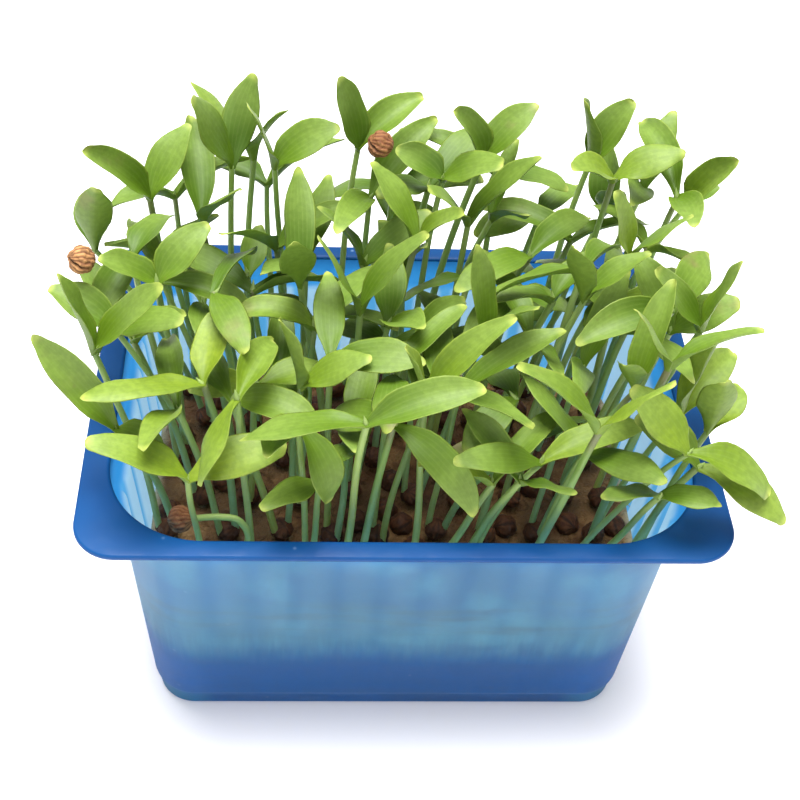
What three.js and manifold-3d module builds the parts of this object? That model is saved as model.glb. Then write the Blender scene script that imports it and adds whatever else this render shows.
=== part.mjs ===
import * as THREE from 'three';
import { mergeVertices } from 'three/addons/utils/BufferGeometryUtils.js';
import Module from 'manifold-3d';

// A tray of coriander microgreens: a small blue plastic tray with a flat rim, a fibre pad
// carried on ledges above the floor, spent seed husks on the pad, and young seedlings whose
// roots stand in plain holes in the pad. Millimetres, +Z up. The origin is the centre of the
// flat base, and the long front side faces -Y.

// Tray
const RIM_WIDTH = 98;
const RIM_DEPTH = 70;
const TRAY_HEIGHT = 53;
const RIM_CORNER = 6.5;
const RIM_SIDE = 4.2; // flat rim left and right of the opening
const RIM_END = 3.2; // flat rim in front of and behind the opening
const RIM_THICKNESS = 1.1;
const OPENING_CORNER = 15;
const WALL = 0.9;
const DRAFT_X = 4.2; // how far each wall leans in from rim to base
const DRAFT_Y = 5;
const SHOULDER = 0.8; // step inwards below the smooth band
const BASE_CORNER = 6; // corner radius of the cavity at the floor
const FLOOR = 1.1;
const FOOT_HEIGHT = 4;
const FOOT_INSET = 0.5;
const OUTSIDE_CORNER_STEPS = 6;
const CUT_ABOVE = 2; // how far the cavity is cut past the rim

// Ribs inside the tray
const LONG_SIDE_RIBS = 9;
const SHORT_SIDE_RIBS = 5;
const CORNER_RIBS = 3;
const RIB_POINTS = 3; // outline points on each rib
const RIB_RELIEF = 0.8;
const RIB_TOP = 46.8;
const SMOOTH_BAND = 48.5; // the wall is smooth and full width from here up
const LEDGE_HEIGHT = 16;
const LEDGE_RELIEF = 2;
const LOWER_WALL_EXTRA = 0.4;
const PROJECTION_STEPS = 24; // moves that bring an outline point onto the wall

// Fibre pad and husks
const PAD_TOP = 29;
const PAD_GAP = 0.3; // clear of the ribs, the ledges and what stands on it
const PAD_EDGE_STEPS = 5;
const HUSK_RADIUS = 2.2;
const HUSK_SQUASH = 0.88;
const PAIR_HUSK = { sides: 4, rings: 2 };
const LYING_HUSK = { sides: 5, rings: 3 };
const RAISED_HUSK = { sides: 6, rings: 4 };
const HUSK_COUNT = 44;
const HUSK_TRIES = 900;
const HUSK_SPACING = 3.6;
const HUSK_LIFT = 0.7; // centre of a lying husk above the pad
const LOW_STEM = 6; // stems this near above the pad keep the lying husks away
const HUSK_HEIGHT = PAD_TOP + PAD_GAP + HUSK_RADIUS * HUSK_SQUASH; // centre of a pair's husk
const ROOT_RADIUS = 0.9;
const ROOT_DEPTH = 3.5;
const HOLE_RADIUS = 1.4;
const HOLE_DEPTH = 4;
const HOLE_CUT_ABOVE = 1;

// Seedlings: each pair grows from one husk
const SEED = 4217;
const COLUMNS = 9;
const ROWS = 6;
const COLUMN_STEP = 8.7;
const ROW_STEP = 8.8;
const ROW_STAGGER = 2.1;
const FOOT_JITTER = 1.3;
const FOOT_MARGIN = 2.9; // husk centre to the edge of the pad
const FOOT_PULL = 0.98; // how a husk too near the edge moves in, until it is clear
const PAIR_SPREAD = 1.3;

// Stems. A range is its lowest and highest value, and angles are in degrees.
const STEM_RADIUS = 0.82;
const STEM_TOP_RADIUS = 0.66;
const STEM_STEPS = 2;
const FRONT_STEM_TOP = 65;
const BACK_STEM_TOP = 80;
const STEM_TOP_STRAY = [-8, 8];
const STEM_SPREAD = [1.5, 6]; // the top of a stem out from the middle of its pair
const STEM_STRAY = [-3, 3];
const FAN_OUT = 1.17; // the spread of the tops as a share of the feet's
const LEAN_RIGHT = 1.8;
const STEM_BOW = [0.1, 0.5]; // share of the lean that is reached at the bend
const SET_STEM_BOW = 0.3;
const BEND_HEIGHT = 0.55;

// Leaves. Open leaves lie flatter and droop more than young upright ones.
const LEAF_LENGTH = [12.5, 19.5];
const LEAF_WIDTH = [4.1, 5.7];
const SET_LEAF_WIDTH = 5.4;
const LEAF_THICKNESS = 1;
const LEAF_CUP = 0.22; // edge lift as a share of half the width
const LEAF_STATIONS = [0.2, 0.5, 0.8];
const STALK_HALF_WIDTH = 0.5;
const STALK_TAPER = [0.2, 3]; // share of the full width along the leaf, held at 1 past the stalk
const WIDEST_SHIFT = 1.08; // above 1 the widest place lies past the middle
const BLADE_FULLNESS = 0.75; // below 1 the blade stays wide for longer
const LEAF_RISE = [78, 16]; // first slope of a young and of an open leaf
const LEAF_RISE_STRAY = [-16, 16];
const LEAF_DROOP = [14, 60]; // bend of a young and of an open leaf
const LEAF_DROOP_STRAY = [-12, 24];
const LEAF_TURN_STRAY = [-38, 38];
const LEAF_ROLL = [-30, 30];
const JOINT_LENGTH = 0.5; // half the length of the short joint under the leaves
const JOINT_WIDTH = 0.75; // half its width
const JOINT_DROP = 1.3; // top of the stem below the middle of the joint

// Room to grow
const HUSK_OUTLOOK = [1.9, -9, 7.7]; // how far the space before a raised husk is kept open
const OUTLOOK_STEPS = 3;
const REACH = { left: -50, right: 48, front: -33, back: 36, top: 93 }; // how far leaves spread
const LOWEST_LEAF = 57;
const WALL_CLEARANCE = 1.2;
const RIM_CLEARANCE = 1.4;
const CLEARANCE = 0.45;
const JOINT_ROOM = 3.5; // leaves may touch each other and their stem this near the joint
const SAMPLE_STEP = 1.1;
const CUBE = 2.4; // side of the cubes that sort the taken space
const STEM_TRIES = 400;
const LEAF_TRIES = 60;

// Seedlings round the edge whose place is set: the row and column of the husk, which of its two
// seedlings, the top of the stem, and the tip, droop and roll in degrees of each leaf.
const SET_PLANTS = [
  {
    row: 1, column: 0, side: 0, top: [-42.6, -19.6, 63],
    leaves: [[[-52.8, -16, 79], 18, -50], [[-35.2, -27, 63.4], 55, 10]],
  },
  {
    row: 2, column: 0, side: 0, top: [-43.6, -6, 70],
    leaves: [[[-53.2, -3, 75.5], 50, -30], [[-33, -12, 77], 40, 20]],
  },
  {
    row: 3, column: 0, side: 0, top: [-38, 2, 72],
    leaves: [[[-46, -0.5, 78.6], 30, -20], [[-30, 8, 79], 45, 30]],
  },
  {
    row: 4, column: 0, side: 0, top: [-48.2, 10, 72],
    leaves: [[[-46.4, 5.4, 87.5], 16, -10], [[-50, 20, 76], 60, 0]],
  },
  {
    row: 5, column: 0, side: 0, top: [-40.4, 20, 74.2],
    leaves: [[[-49, 14, 88], 22, -50], [[-34, 27, 84], 40, 20]],
  },
  {
    row: 5, column: 1, side: 0, top: [-27.2, 20, 81],
    leaves: [[[-32.4, 17, 96], 14, -60], [[-23.4, 27, 93.4], 40, 40]],
  },
  {
    row: 5, column: 2, side: 0, top: [-20.5, 20.5, 80.6],
    leaves: [[[-24.2, 15.5, 95], 16, -40], [[-10.5, 22, 88], 55, 40]],
  },
  {
    row: 5, column: 3, side: 0, top: [-7.4, 24.5, 81.6],
    leaves: [[[-10.7, 23, 96], 12, -70], [[3, 30, 88], 45, 20]],
  },
  {
    row: 5, column: 5, side: 0, top: [12.6, 24, 80],
    leaves: [[[7, 22, 91.6], 28, -50], [[21, 27, 89], 45, 20]],
  },
  {
    row: 5, column: 7, side: 0, top: [30.8, 27, 78],
    leaves: [[[27, 22.5, 92.5], 14, -50], [[36.5, 29, 89], 35, 40]],
  },
  {
    row: 5, column: 8, side: 0, top: [46, 20, 74.8],
    leaves: [[[51, 16, 87.4], 20, 50], [[52, 27, 74.5], 50, 10]],
  },
  {
    row: 4, column: 7, side: 0, top: [33, 19, 80.4],
    leaves: [[[43.5, 18.5, 86], 60, 20], [[24.5, 14, 87], 40, -20]],
  },
  {
    row: 4, column: 4, side: 0, top: [6, 19.5, 79.6],
    leaves: [[[-1.8, 20, 85], 30, -20], [[14.5, 14, 87.5], 35, 30]],
  },
  {
    row: 2, column: 8, side: 0, top: [41.8, 0, 65.6],
    leaves: [[[51, -1.5, 73], 45, 30], [[35, 8, 75], 40, -20]],
  },
  {
    row: 1, column: 8, side: 0, top: [42.2, -13, 61],
    leaves: [[[44.2, -14.5, 78.4], 14, 40], [[50.5, -4, 66], 60, 20]],
  },
  {
    row: 0, column: 8, side: 0, top: [43.6, -21, 65.4],
    leaves: [[[43, -23.5, 78.4], 12, 0], [[49.5, -14, 68], 60, 0]],
  },
  {
    row: 0, column: 8, side: 1, top: [41.6, -26, 63.2],
    leaves: [[[54.8, -31.6, 57.6], 62, 10], [[32, -22, 70], 40, -20]],
  },
  {
    row: 0, column: 7, side: 0, top: [38.6, -28.2, 68.6],
    leaves: [[[51.4, -30, 62.4], 66, 10], [[29.6, -24, 77.6], 30, -30]],
  },
  {
    row: 0, column: 2, side: 0, top: [-16.3, -23.6, 68.8],
    leaves: [[[-20, -33, 72], 60, 0], [[-11.8, -28.4, 57.6], 76, 0]],
  },
];
const CAPPED_LEAVES = [ // leaf tips that still wear their husk
  { row: 3, column: 0, side: 0, leaf: 0 },
  { row: 4, column: 4, side: 0, leaf: 0 },
];
const LATE_SPROUT = [ // centre line of a thin late sprout, from its root to its husk
  [-27.4, -25.2, 25.8],
  [-27, -25.2, 31],
  [-25.4, -24.6, 38],
  [-23.8, -23.6, 43.5],
  [-25.4, -22.8, 46.4],
  [-28.4, -22.4, 46.6],
  [-31.8, -22.2, 46],
];
const LATE_SPROUT_RADIUS = 0.6;
const LATE_SPROUT_STEPS = 12;

const RADIANS = Math.PI / 180;
const SLIVER = 0.02;

const wasm = await Module();
wasm.setup();

// ---------- helpers ----------

// Uniform numbers from 0 to 1, the same each time for a given seed.
function seededRandom(seed) {
  let state = seed | 0;
  return () => {
    state = (state + 0x6d2b79f5) | 0;
    let mixed = Math.imul(state ^ (state >>> 15), 1 | state);
    mixed = (mixed + Math.imul(mixed ^ (mixed >>> 7), 61 | mixed)) ^ mixed;
    return ((mixed ^ (mixed >>> 14)) >>> 0) / 4294967296;
  };
}

const point = (x, y, z) => new THREE.Vector3(x, y, z);

// The value at a share of the way along a range.
const partWay = (range, share) => range[0] + (range[1] - range[0]) * share;

// Joins rows of points into a skin, leaving out the faces that skip(row, side) names. A row of
// one point is a tip. Returns where each row starts among the positions.
function addRows(skin, rows, skip = () => false) {
  const starts = rows.map((row) => {
    const start = skin.positions.length / 3;
    row.forEach((p) => skin.positions.push(p.x, p.y, p.z));
    return start;
  });
  for (let r = 0; r + 1 < rows.length; r += 1) {
    const sides = Math.max(rows[r].length, rows[r + 1].length);
    const lower = (k) => starts[r] + (rows[r].length > 1 ? k % sides : 0);
    const upper = (k) => starts[r + 1] + (rows[r + 1].length > 1 ? k % sides : 0);
    for (let i = 0; i < sides; i += 1) {
      if (skip(r, i)) continue;
      if (rows[r].length > 1) skin.faces.push([lower(i), lower(i + 1), upper(i + 1)]);
      if (rows[r + 1].length > 1) skin.faces.push([lower(i), upper(i + 1), upper(i)]);
    }
  }
  return starts;
}

// Closes a row of several points by a fan that looks back along the rows.
function closeStart(skin, start, count) {
  for (let i = 1; i + 1 < count; i += 1) skin.faces.push([start, start + i + 1, start + i]);
}

function geometryFrom(skin) {
  const geometry = new THREE.BufferGeometry();
  geometry.setAttribute('position', new THREE.Float32BufferAttribute(skin.positions, 3));
  geometry.setIndex(skin.faces.flat());
  return geometry;
}

// A closed surface through rows of points, with a fan on each end that isn't a tip.
function loft(rows) {
  const skin = { positions: [], faces: [] };
  const starts = addRows(skin, rows);
  closeStart(skin, starts[0], rows[0].length);
  const last = rows.length - 1;
  for (let i = 1; i + 1 < rows[last].length; i += 1) {
    skin.faces.push([starts[last], starts[last] + i, starts[last] + i + 1]);
  }
  return geometryFrom(skin);
}

function solid(geometry) {
  const bare = geometry.clone();
  bare.deleteAttribute('normal');
  bare.deleteAttribute('uv');
  const merged = mergeVertices(bare, 1e-5);
  return new wasm.Manifold(new wasm.Mesh({
    numProp: 3,
    vertProperties: new Float32Array(merged.attributes.position.array),
    triVerts: new Uint32Array(merged.index.array),
  }));
}

// One solid from several. Edges shorter than SLIVER, left where skins cross, are merged away.
const fuse = (solids) => solids.reduce((whole, piece) => whole.add(piece)).simplify(SLIVER);

function geometryOf(manifold) {
  const mesh = manifold.getMesh();
  const geometry = new THREE.BufferGeometry();
  geometry.setAttribute('position', new THREE.BufferAttribute(mesh.vertProperties, 3));
  geometry.setIndex(new THREE.BufferAttribute(mesh.triVerts, 1));
  geometry.computeVertexNormals();
  return geometry;
}

function node(name, manifold, finish) {
  const material = new THREE.MeshStandardMaterial(finish);
  const mesh = new THREE.Mesh(geometryOf(manifold), material);
  mesh.name = name;
  return mesh;
}

// ---------- tray ----------

// Half sizes and corner radius of the cavity at a height.
function cavityAt(z) {
  const share = 1 - z / TRAY_HEIGHT;
  const ramp = (SMOOTH_BAND - z) / (SMOOTH_BAND - RIB_TOP);
  const shoulder = SHOULDER * Math.min(1, Math.max(0, ramp));
  return {
    x: RIM_WIDTH / 2 - RIM_SIDE - shoulder - DRAFT_X * share,
    y: RIM_DEPTH / 2 - RIM_END - shoulder - DRAFT_Y * share,
    corner: OPENING_CORNER + (BASE_CORNER - OPENING_CORNER) * share,
  };
}

// Distance from a point to a rounded rectangle, negative inside it.
function edgeDistance(x, y, outline) {
  const dx = Math.abs(x) - (outline.x - outline.corner);
  const dy = Math.abs(y) - (outline.y - outline.corner);
  const outside = Math.hypot(Math.max(dx, 0), Math.max(dy, 0));
  return outside + Math.min(Math.max(dx, dy), 0) - outline.corner;
}

const grown = (outline, by) => ({
  x: outline.x + by,
  y: outline.y + by,
  corner: outline.corner + by,
});

// A rounded rectangle at height z, counter-clockwise from above.
function roundedRow(outline, z, cornerSteps) {
  const row = [];
  for (let quarter = 0; quarter < 4; quarter += 1) {
    const signX = quarter === 0 || quarter === 3 ? 1 : -1;
    const signY = quarter < 2 ? 1 : -1;
    for (let step = 0; step <= cornerSteps; step += 1) {
      const angle = (quarter + step / cornerSteps) * 90 * RADIANS;
      row.push(point(
        signX * (outline.x - outline.corner) + outline.corner * Math.cos(angle),
        signY * (outline.y - outline.corner) + outline.corner * Math.sin(angle),
        z,
      ));
    }
  }
  return row;
}

// Where each outline point of the ribbed wall starts at the opening, its inward direction and
// its place across a rib: 0 in the groove, 1 on the crest.
function ribStations() {
  const { x, y, corner } = cavityAt(TRAY_HEIGHT);
  const stations = [];
  for (let side = 0; side < 4; side += 1) {
    const angle = side * 90 * RADIANS;
    const outward = point(Math.cos(angle), Math.sin(angle), 0);
    const along = point(-outward.y, outward.x, 0);
    const reach = side % 2 === 0 ? x : y;
    const half = (side % 2 === 0 ? y : x) - corner;
    const sideSteps = (side % 2 === 0 ? SHORT_SIDE_RIBS : LONG_SIDE_RIBS) * RIB_POINTS;
    for (let i = 0; i < sideSteps; i += 1) {
      const place = outward.clone().multiplyScalar(reach);
      place.addScaledVector(along, half * (2 * i / sideSteps - 1));
      stations.push({ place, outward, phase: i / RIB_POINTS });
    }
    const centre = outward.clone().multiplyScalar(reach - corner).addScaledVector(along, half);
    const cornerSteps = CORNER_RIBS * RIB_POINTS;
    for (let i = 0; i < cornerSteps; i += 1) {
      const turn = angle + i / cornerSteps * 90 * RADIANS;
      const normal = point(Math.cos(turn), Math.sin(turn), 0);
      const place = centre.clone().addScaledVector(normal, corner);
      stations.push({ place, outward: normal, phase: i / RIB_POINTS });
    }
  }
  return stations.map(({ place, outward, phase }) => (
    { place, outward, crest: (1 - Math.cos(2 * Math.PI * phase)) / 2 }));
}

// The cavity outline at height z, with each rib standing in from it.
function ribbedRow(stations, z, relief, extra = 0) {
  const outline = cavityAt(z);
  return stations.map(({ place, outward, crest }) => {
    const p = place.clone();
    for (let i = 0; i < PROJECTION_STEPS; i += 1) {
      p.addScaledVector(outward, -(edgeDistance(p.x, p.y, outline) + extra + relief * crest));
    }
    return point(p.x, p.y, z);
  });
}

function buildTray() {
  const steps = OUTSIDE_CORNER_STEPS;
  const rim = { x: RIM_WIDTH / 2, y: RIM_DEPTH / 2, corner: RIM_CORNER };
  const rimBottom = TRAY_HEIGHT - RIM_THICKNESS;
  const outer = loft([
    roundedRow(grown(cavityAt(0), WALL - FOOT_INSET), 0, steps),
    roundedRow(grown(cavityAt(FOOT_HEIGHT), WALL - FOOT_INSET), FOOT_HEIGHT, steps),
    roundedRow(grown(cavityAt(FOOT_HEIGHT), WALL), FOOT_HEIGHT, steps),
    roundedRow(grown(cavityAt(RIB_TOP), WALL), RIB_TOP, steps),
    roundedRow(grown(cavityAt(SMOOTH_BAND), WALL), SMOOTH_BAND, steps),
    roundedRow(grown(cavityAt(rimBottom), WALL), rimBottom, steps),
    roundedRow(rim, rimBottom, steps),
    roundedRow(rim, TRAY_HEIGHT, steps),
  ]);
  const stations = ribStations();
  const above = TRAY_HEIGHT + CUT_ABOVE;
  const cavity = loft([
    [point(0, 0, FLOOR)],
    ribbedRow(stations, FLOOR, LEDGE_RELIEF, LOWER_WALL_EXTRA),
    ribbedRow(stations, LEDGE_HEIGHT, LEDGE_RELIEF, LOWER_WALL_EXTRA),
    ribbedRow(stations, LEDGE_HEIGHT, RIB_RELIEF),
    ribbedRow(stations, RIB_TOP, RIB_RELIEF),
    ribbedRow(stations, SMOOTH_BAND, 0),
    ribbedRow(stations, above, 0),
    [point(0, 0, above)],
  ]);
  return solid(outer).subtract(solid(cavity));
}

// ---------- seedlings ----------

const padOutline = (z) => grown(cavityAt(z), -RIB_RELIEF - PAD_GAP);

// The husk that each pair grows from: a staggered, jittered grid drawn in from the pad's edge.
function pairFeet() {
  const random = seededRandom(SEED);
  const feet = [];
  for (let row = 0; row < ROWS; row += 1) {
    for (let column = 0; column < COLUMNS; column += 1) {
      const stagger = row % 2 === 0 ? ROW_STAGGER : -ROW_STAGGER;
      let x = (column - (COLUMNS - 1) / 2) * COLUMN_STEP + stagger;
      let y = (row - (ROWS - 1) / 2) * ROW_STEP;
      x += (2 * random() - 1) * FOOT_JITTER;
      y += (2 * random() - 1) * FOOT_JITTER;
      while (edgeDistance(x, y, padOutline(PAD_TOP)) > -FOOT_MARGIN) {
        x *= FOOT_PULL;
        y *= FOOT_PULL;
      }
      feet.push({ x, y, turn: 180 * random() });
    }
  }
  return feet;
}

// Where a stem leaves its husk.
function stemStart(foot, side) {
  const away = (foot.turn + side * 180) * RADIANS;
  return point(
    foot.x + PAIR_SPREAD * Math.cos(away),
    foot.y + PAIR_SPREAD * Math.sin(away),
    HUSK_HEIGHT,
  );
}

// One draw of a stem. It leans outwards, more to the right, and stands taller at the back.
function drawStem(foot, side, loosen, random) {
  const away = (foot.turn + side * 180) * RADIANS;
  const spread = partWay(STEM_SPREAD, random());
  const usual = partWay([FRONT_STEM_TOP, BACK_STEM_TOP], foot.y / RIM_DEPTH + 0.5);
  const top = point(
    foot.x * FAN_OUT + LEAN_RIGHT + spread * Math.cos(away),
    foot.y * FAN_OUT + spread * Math.sin(away),
    usual,
  );
  top.x += partWay(STEM_STRAY, random()) * loosen;
  top.y += partWay(STEM_STRAY, random()) * loosen;
  top.z += partWay(STEM_TOP_STRAY, random()) * loosen;
  return { start: stemStart(foot, side), top, bow: partWay(STEM_BOW, random()) };
}

// One draw of a leaf.
function drawLeaf(turn, openness, loosen, random) {
  return {
    turn: (turn + partWay(LEAF_TURN_STRAY, random())) * RADIANS,
    rise: (partWay(LEAF_RISE, openness) + partWay(LEAF_RISE_STRAY, random())) * RADIANS,
    droop: (partWay(LEAF_DROOP, openness) + partWay(LEAF_DROOP_STRAY, random())) * RADIANS,
    roll: partWay(LEAF_ROLL, random()) * RADIANS,
    length: partWay(LEAF_LENGTH, random()) / Math.sqrt(loosen),
    width: partWay(LEAF_WIDTH, random()),
  };
}

// The stem's centre line: upright at the foot, then leaning to the top.
function stemPoint(plant, share) {
  const { start, top, bow } = plant;
  const bend = point(
    start.x + (top.x - start.x) * bow,
    start.y + (top.y - start.y) * bow,
    start.z + (top.z - start.z) * BEND_HEIGHT,
  );
  const lower = start.clone().lerp(bend, share);
  return lower.lerp(bend.clone().lerp(top, share), share);
}

function stemDirection(plant, share) {
  const nudge = 0.01;
  return stemPoint(plant, share + nudge).sub(stemPoint(plant, share - nudge)).normalize();
}

// The leaf's middle line bends evenly downwards. Its frame turns by roll about that line.
function leafFrame(plant, leaf, share) {
  const { turn, rise, droop, roll, length } = leaf;
  const now = rise - droop * share;
  const out = length * (Math.sin(rise) - Math.sin(now)) / droop;
  const up = length * (Math.cos(now) - Math.cos(rise)) / droop;
  const centre = plant.top.clone().add(point(out * Math.cos(turn), out * Math.sin(turn), up));
  const flat = point(-Math.sin(turn), Math.cos(turn), 0);
  const along = point(
    Math.cos(now) * Math.cos(turn),
    Math.cos(now) * Math.sin(turn),
    Math.sin(now),
  );
  const face = along.clone().cross(flat);
  const across = flat.clone().multiplyScalar(Math.cos(roll)).addScaledVector(face, Math.sin(roll));
  const normal = face.multiplyScalar(Math.cos(roll)).addScaledVector(flat, -Math.sin(roll));
  return { centre, along, across, normal };
}

// Half the leaf's width: a narrow stalk, widest about the middle, then a point.
function halfWidth(leaf, share) {
  const blade = Math.sin(Math.PI * share ** WIDEST_SHIFT) ** BLADE_FULLNESS;
  const stalk = Math.min(1, partWay(STALK_TAPER, share));
  return STALK_HALF_WIDTH * (1 - share) + leaf.width / 2 * blade * stalk;
}

// Points about SAMPLE_STEP apart along a stem, each with the radius it stands for.
function stemSamples(plant) {
  const steps = Math.ceil(plant.start.distanceTo(plant.top) / SAMPLE_STEP);
  return Array.from({ length: steps + 1 }, (_, i) => (
    { at: stemPoint(plant, i / steps), radius: STEM_RADIUS }));
}

// Points about SAMPLE_STEP apart over a leaf.
function leafSamples(plant, leaf) {
  const samples = [];
  const steps = Math.ceil(leaf.length / SAMPLE_STEP);
  for (let i = 2; i <= steps; i += 1) {
    const share = i / steps;
    const { centre, across, normal } = leafFrame(plant, leaf, share);
    const half = halfWidth(leaf, share);
    const rows = Math.round(half / SAMPLE_STEP);
    for (let j = -rows; j <= rows; j += 1) {
      const offset = rows ? half * j / rows : 0;
      const at = centre.clone().addScaledVector(across, offset)
        .addScaledVector(normal, LEAF_CUP * Math.abs(offset));
      samples.push({ at, radius: LEAF_THICKNESS / 2 });
    }
  }
  return samples;
}

// Whether a point keeps inside the opening or above the rim, and within the spread of the leaves.
function hasRoom(p) {
  const within = p.x > REACH.left && p.x < REACH.right && p.y > REACH.front
    && p.y < REACH.back && p.z < REACH.top;
  const inside = edgeDistance(p.x, p.y, cavityAt(p.z)) < -RIB_RELIEF - WALL_CLEARANCE;
  return within && (inside || p.z > TRAY_HEIGHT + RIM_CLEARANCE);
}

// The space that is taken so far, kept in cubes so that only near points are compared.
class TakenSpace {
  constructor() {
    this.cubes = new Map();
  }

  static key(x, y, z) {
    return `${Math.floor(x / CUBE)},${Math.floor(y / CUBE)},${Math.floor(z / CUBE)}`;
  }

  add({ at, radius }) {
    const key = TakenSpace.key(at.x, at.y, at.z);
    if (!this.cubes.has(key)) this.cubes.set(key, []);
    this.cubes.get(key).push({ at, radius });
  }

  isFree({ at, radius }) {
    for (let i = 0; i < 27; i += 1) {
      const key = TakenSpace.key(
        at.x + (i % 3 - 1) * CUBE,
        at.y + (Math.floor(i / 3) % 3 - 1) * CUBE,
        at.z + (Math.floor(i / 9) - 1) * CUBE,
      );
      const near = this.cubes.get(key) ?? [];
      const close = (other) => other.at.distanceTo(at) < other.radius + radius + CLEARANCE;
      if (near.some(close)) return false;
    }
    return true;
  }
}

// A seedling whose stem and leaves are clear of the tray, of each other past the joint, and of
// all that grew before it. Each try strays a little further, with shorter leaves, until there
// is room.
function growPlant(foot, side, random, taken) {
  const fits = (samples) => samples.every((s) => hasRoom(s.at) && taken.isFree(s));
  for (let attempt = 0; attempt < STEM_TRIES; attempt += 1) {
    const loosen = 1 + attempt / STEM_TRIES;
    const plant = { ...drawStem(foot, side, loosen, random), leaves: [] };
    const stem = stemSamples(plant);
    if (!fits(stem)) continue;
    const turn = 360 * random();
    const openness = random();
    const pastJoint = ({ at }) => at.distanceTo(plant.top) > JOINT_ROOM;
    const own = new TakenSpace();
    stem.filter(pastJoint).forEach((sample) => own.add(sample));
    for (let which = 0; which < 2; which += 1) {
      for (let draw = 0; draw < LEAF_TRIES && plant.leaves.length === which; draw += 1) {
        const leaf = drawLeaf(turn + 180 * which, openness, loosen, random);
        const samples = leafSamples(plant, leaf);
        const outer = samples.filter(pastJoint);
        const high = samples.every(({ at }) => at.z > LOWEST_LEAF);
        if (high && fits(samples) && outer.every((sample) => own.isFree(sample))) {
          plant.leaves.push(leaf);
          outer.forEach((sample) => own.add(sample));
        }
      }
    }
    if (plant.leaves.length === 2) return plant;
  }
  return null;
}

// A leaf from its tip and droop: the chord of an even bend gives its length and first slope.
function leafToTip(top, [tip, droop, roll]) {
  const chord = point(...tip).sub(top);
  const half = droop / 2 * RADIANS;
  return {
    turn: Math.atan2(chord.y, chord.x),
    rise: Math.asin(chord.z / chord.length()) + half,
    droop: droop * RADIANS,
    roll: roll * RADIANS,
    length: chord.length() * half / Math.sin(half),
    width: SET_LEAF_WIDTH,
  };
}

function setPlant({ side, top, leaves }, foot) {
  const head = point(...top);
  return {
    start: stemStart(foot, side),
    top: head,
    bow: SET_STEM_BOW,
    leaves: leaves.map((leaf) => leafToTip(head, leaf)),
  };
}

const huskIndex = ({ row, column }) => row * COLUMNS + column;

// The set seedlings come first. Then one grows from every husk, and second ones fill the space
// between.
function growAll(feet) {
  const taken = new TakenSpace();
  const pairs = feet.map(() => [null, null]);
  const settle = (plant, index, side) => {
    pairs[index][side] = plant;
    stemSamples(plant).forEach((sample) => taken.add(sample));
    plant.leaves.forEach((leaf) => {
      leafSamples(plant, leaf).forEach((sample) => taken.add(sample));
    });
  };
  SET_PLANTS.forEach((plan) => {
    const index = huskIndex(plan);
    settle(setPlant(plan, feet[index]), index, plan.side);
  });
  const raised = raisedHusks(pairs);
  [...raised, ...raised.flatMap(outlook), ...lateSprout()].forEach((sample) => taken.add(sample));
  for (let side = 0; side < 2; side += 1) {
    feet.forEach((foot, index) => {
      if (pairs[index][side]) return;
      const random = seededRandom(SEED + 101 * (index + 1) + side);
      const plant = growPlant(foot, side, random, taken);
      if (plant) settle(plant, index, side);
    });
  }
  return pairs;
}

// The husk that caps a leaf's tip sits just past it, in line with the leaf.
function raisedHusks(pairs) {
  return CAPPED_LEAVES.map((cap) => {
    const plant = pairs[huskIndex(cap)][cap.side];
    const { centre, along } = leafFrame(plant, plant.leaves[cap.leaf], 1);
    const at = centre.clone().addScaledVector(along, HUSK_RADIUS + PAD_GAP);
    return { at, radius: HUSK_RADIUS };
  });
}

// The space before a raised husk, which stands proud of the leaves round it.
function outlook({ at, radius }) {
  return Array.from({ length: OUTLOOK_STEPS }, (_, i) => (
    { at: at.clone().addScaledVector(point(...HUSK_OUTLOOK), (i + 1) / OUTLOOK_STEPS), radius }));
}

const sproutCurve = () => new THREE.CatmullRomCurve3(LATE_SPROUT.map((p) => point(...p)));

// The space of the late sprout and of its husk.
function lateSprout() {
  const steps = LATE_SPROUT_STEPS * 3;
  const curve = sproutCurve();
  const samples = Array.from({ length: steps + 1 }, (_, i) => (
    { at: curve.getPoint(i / steps), radius: LATE_SPROUT_RADIUS }));
  return [...samples, { at: sproutHusk(), radius: HUSK_RADIUS }];
}

function sproutHusk() {
  const curve = sproutCurve();
  return curve.getPoint(1).addScaledVector(curve.getTangent(1), HUSK_RADIUS + PAD_GAP);
}

// The rows of the thin blade that runs from the tip of one leaf, through the joint on top of
// the stem, to the tip of the other. Each row goes left edge, underside, right edge, upper side.
function bladeRows(plant, joint) {
  const section = (centre, side, face, half) => [
    centre.clone().addScaledVector(side, -half).addScaledVector(face, LEAF_CUP * half),
    centre.clone().addScaledVector(face, -LEAF_THICKNESS / 2),
    centre.clone().addScaledVector(side, half).addScaledVector(face, LEAF_CUP * half),
    centre.clone().addScaledVector(face, LEAF_THICKNESS / 2),
  ];
  const leafRows = (leaf, sign) => LEAF_STATIONS.map((share) => {
    const { centre, across, normal } = leafFrame(plant, leaf, share);
    return section(centre, across.multiplyScalar(sign), normal, halfWidth(leaf, share));
  });
  const jointRow = (sign) => section(
    plant.top.clone().addScaledVector(joint.onward, sign * JOINT_LENGTH),
    joint.across,
    joint.normal,
    JOINT_WIDTH,
  );
  const [first, second] = plant.leaves;
  return [
    [leafFrame(plant, first, 1).centre],
    ...leafRows(first, -1).reverse(),
    jointRow(-1),
    jointRow(1),
    ...leafRows(second, 1),
    [leafFrame(plant, second, 1).centre],
  ];
}

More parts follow.
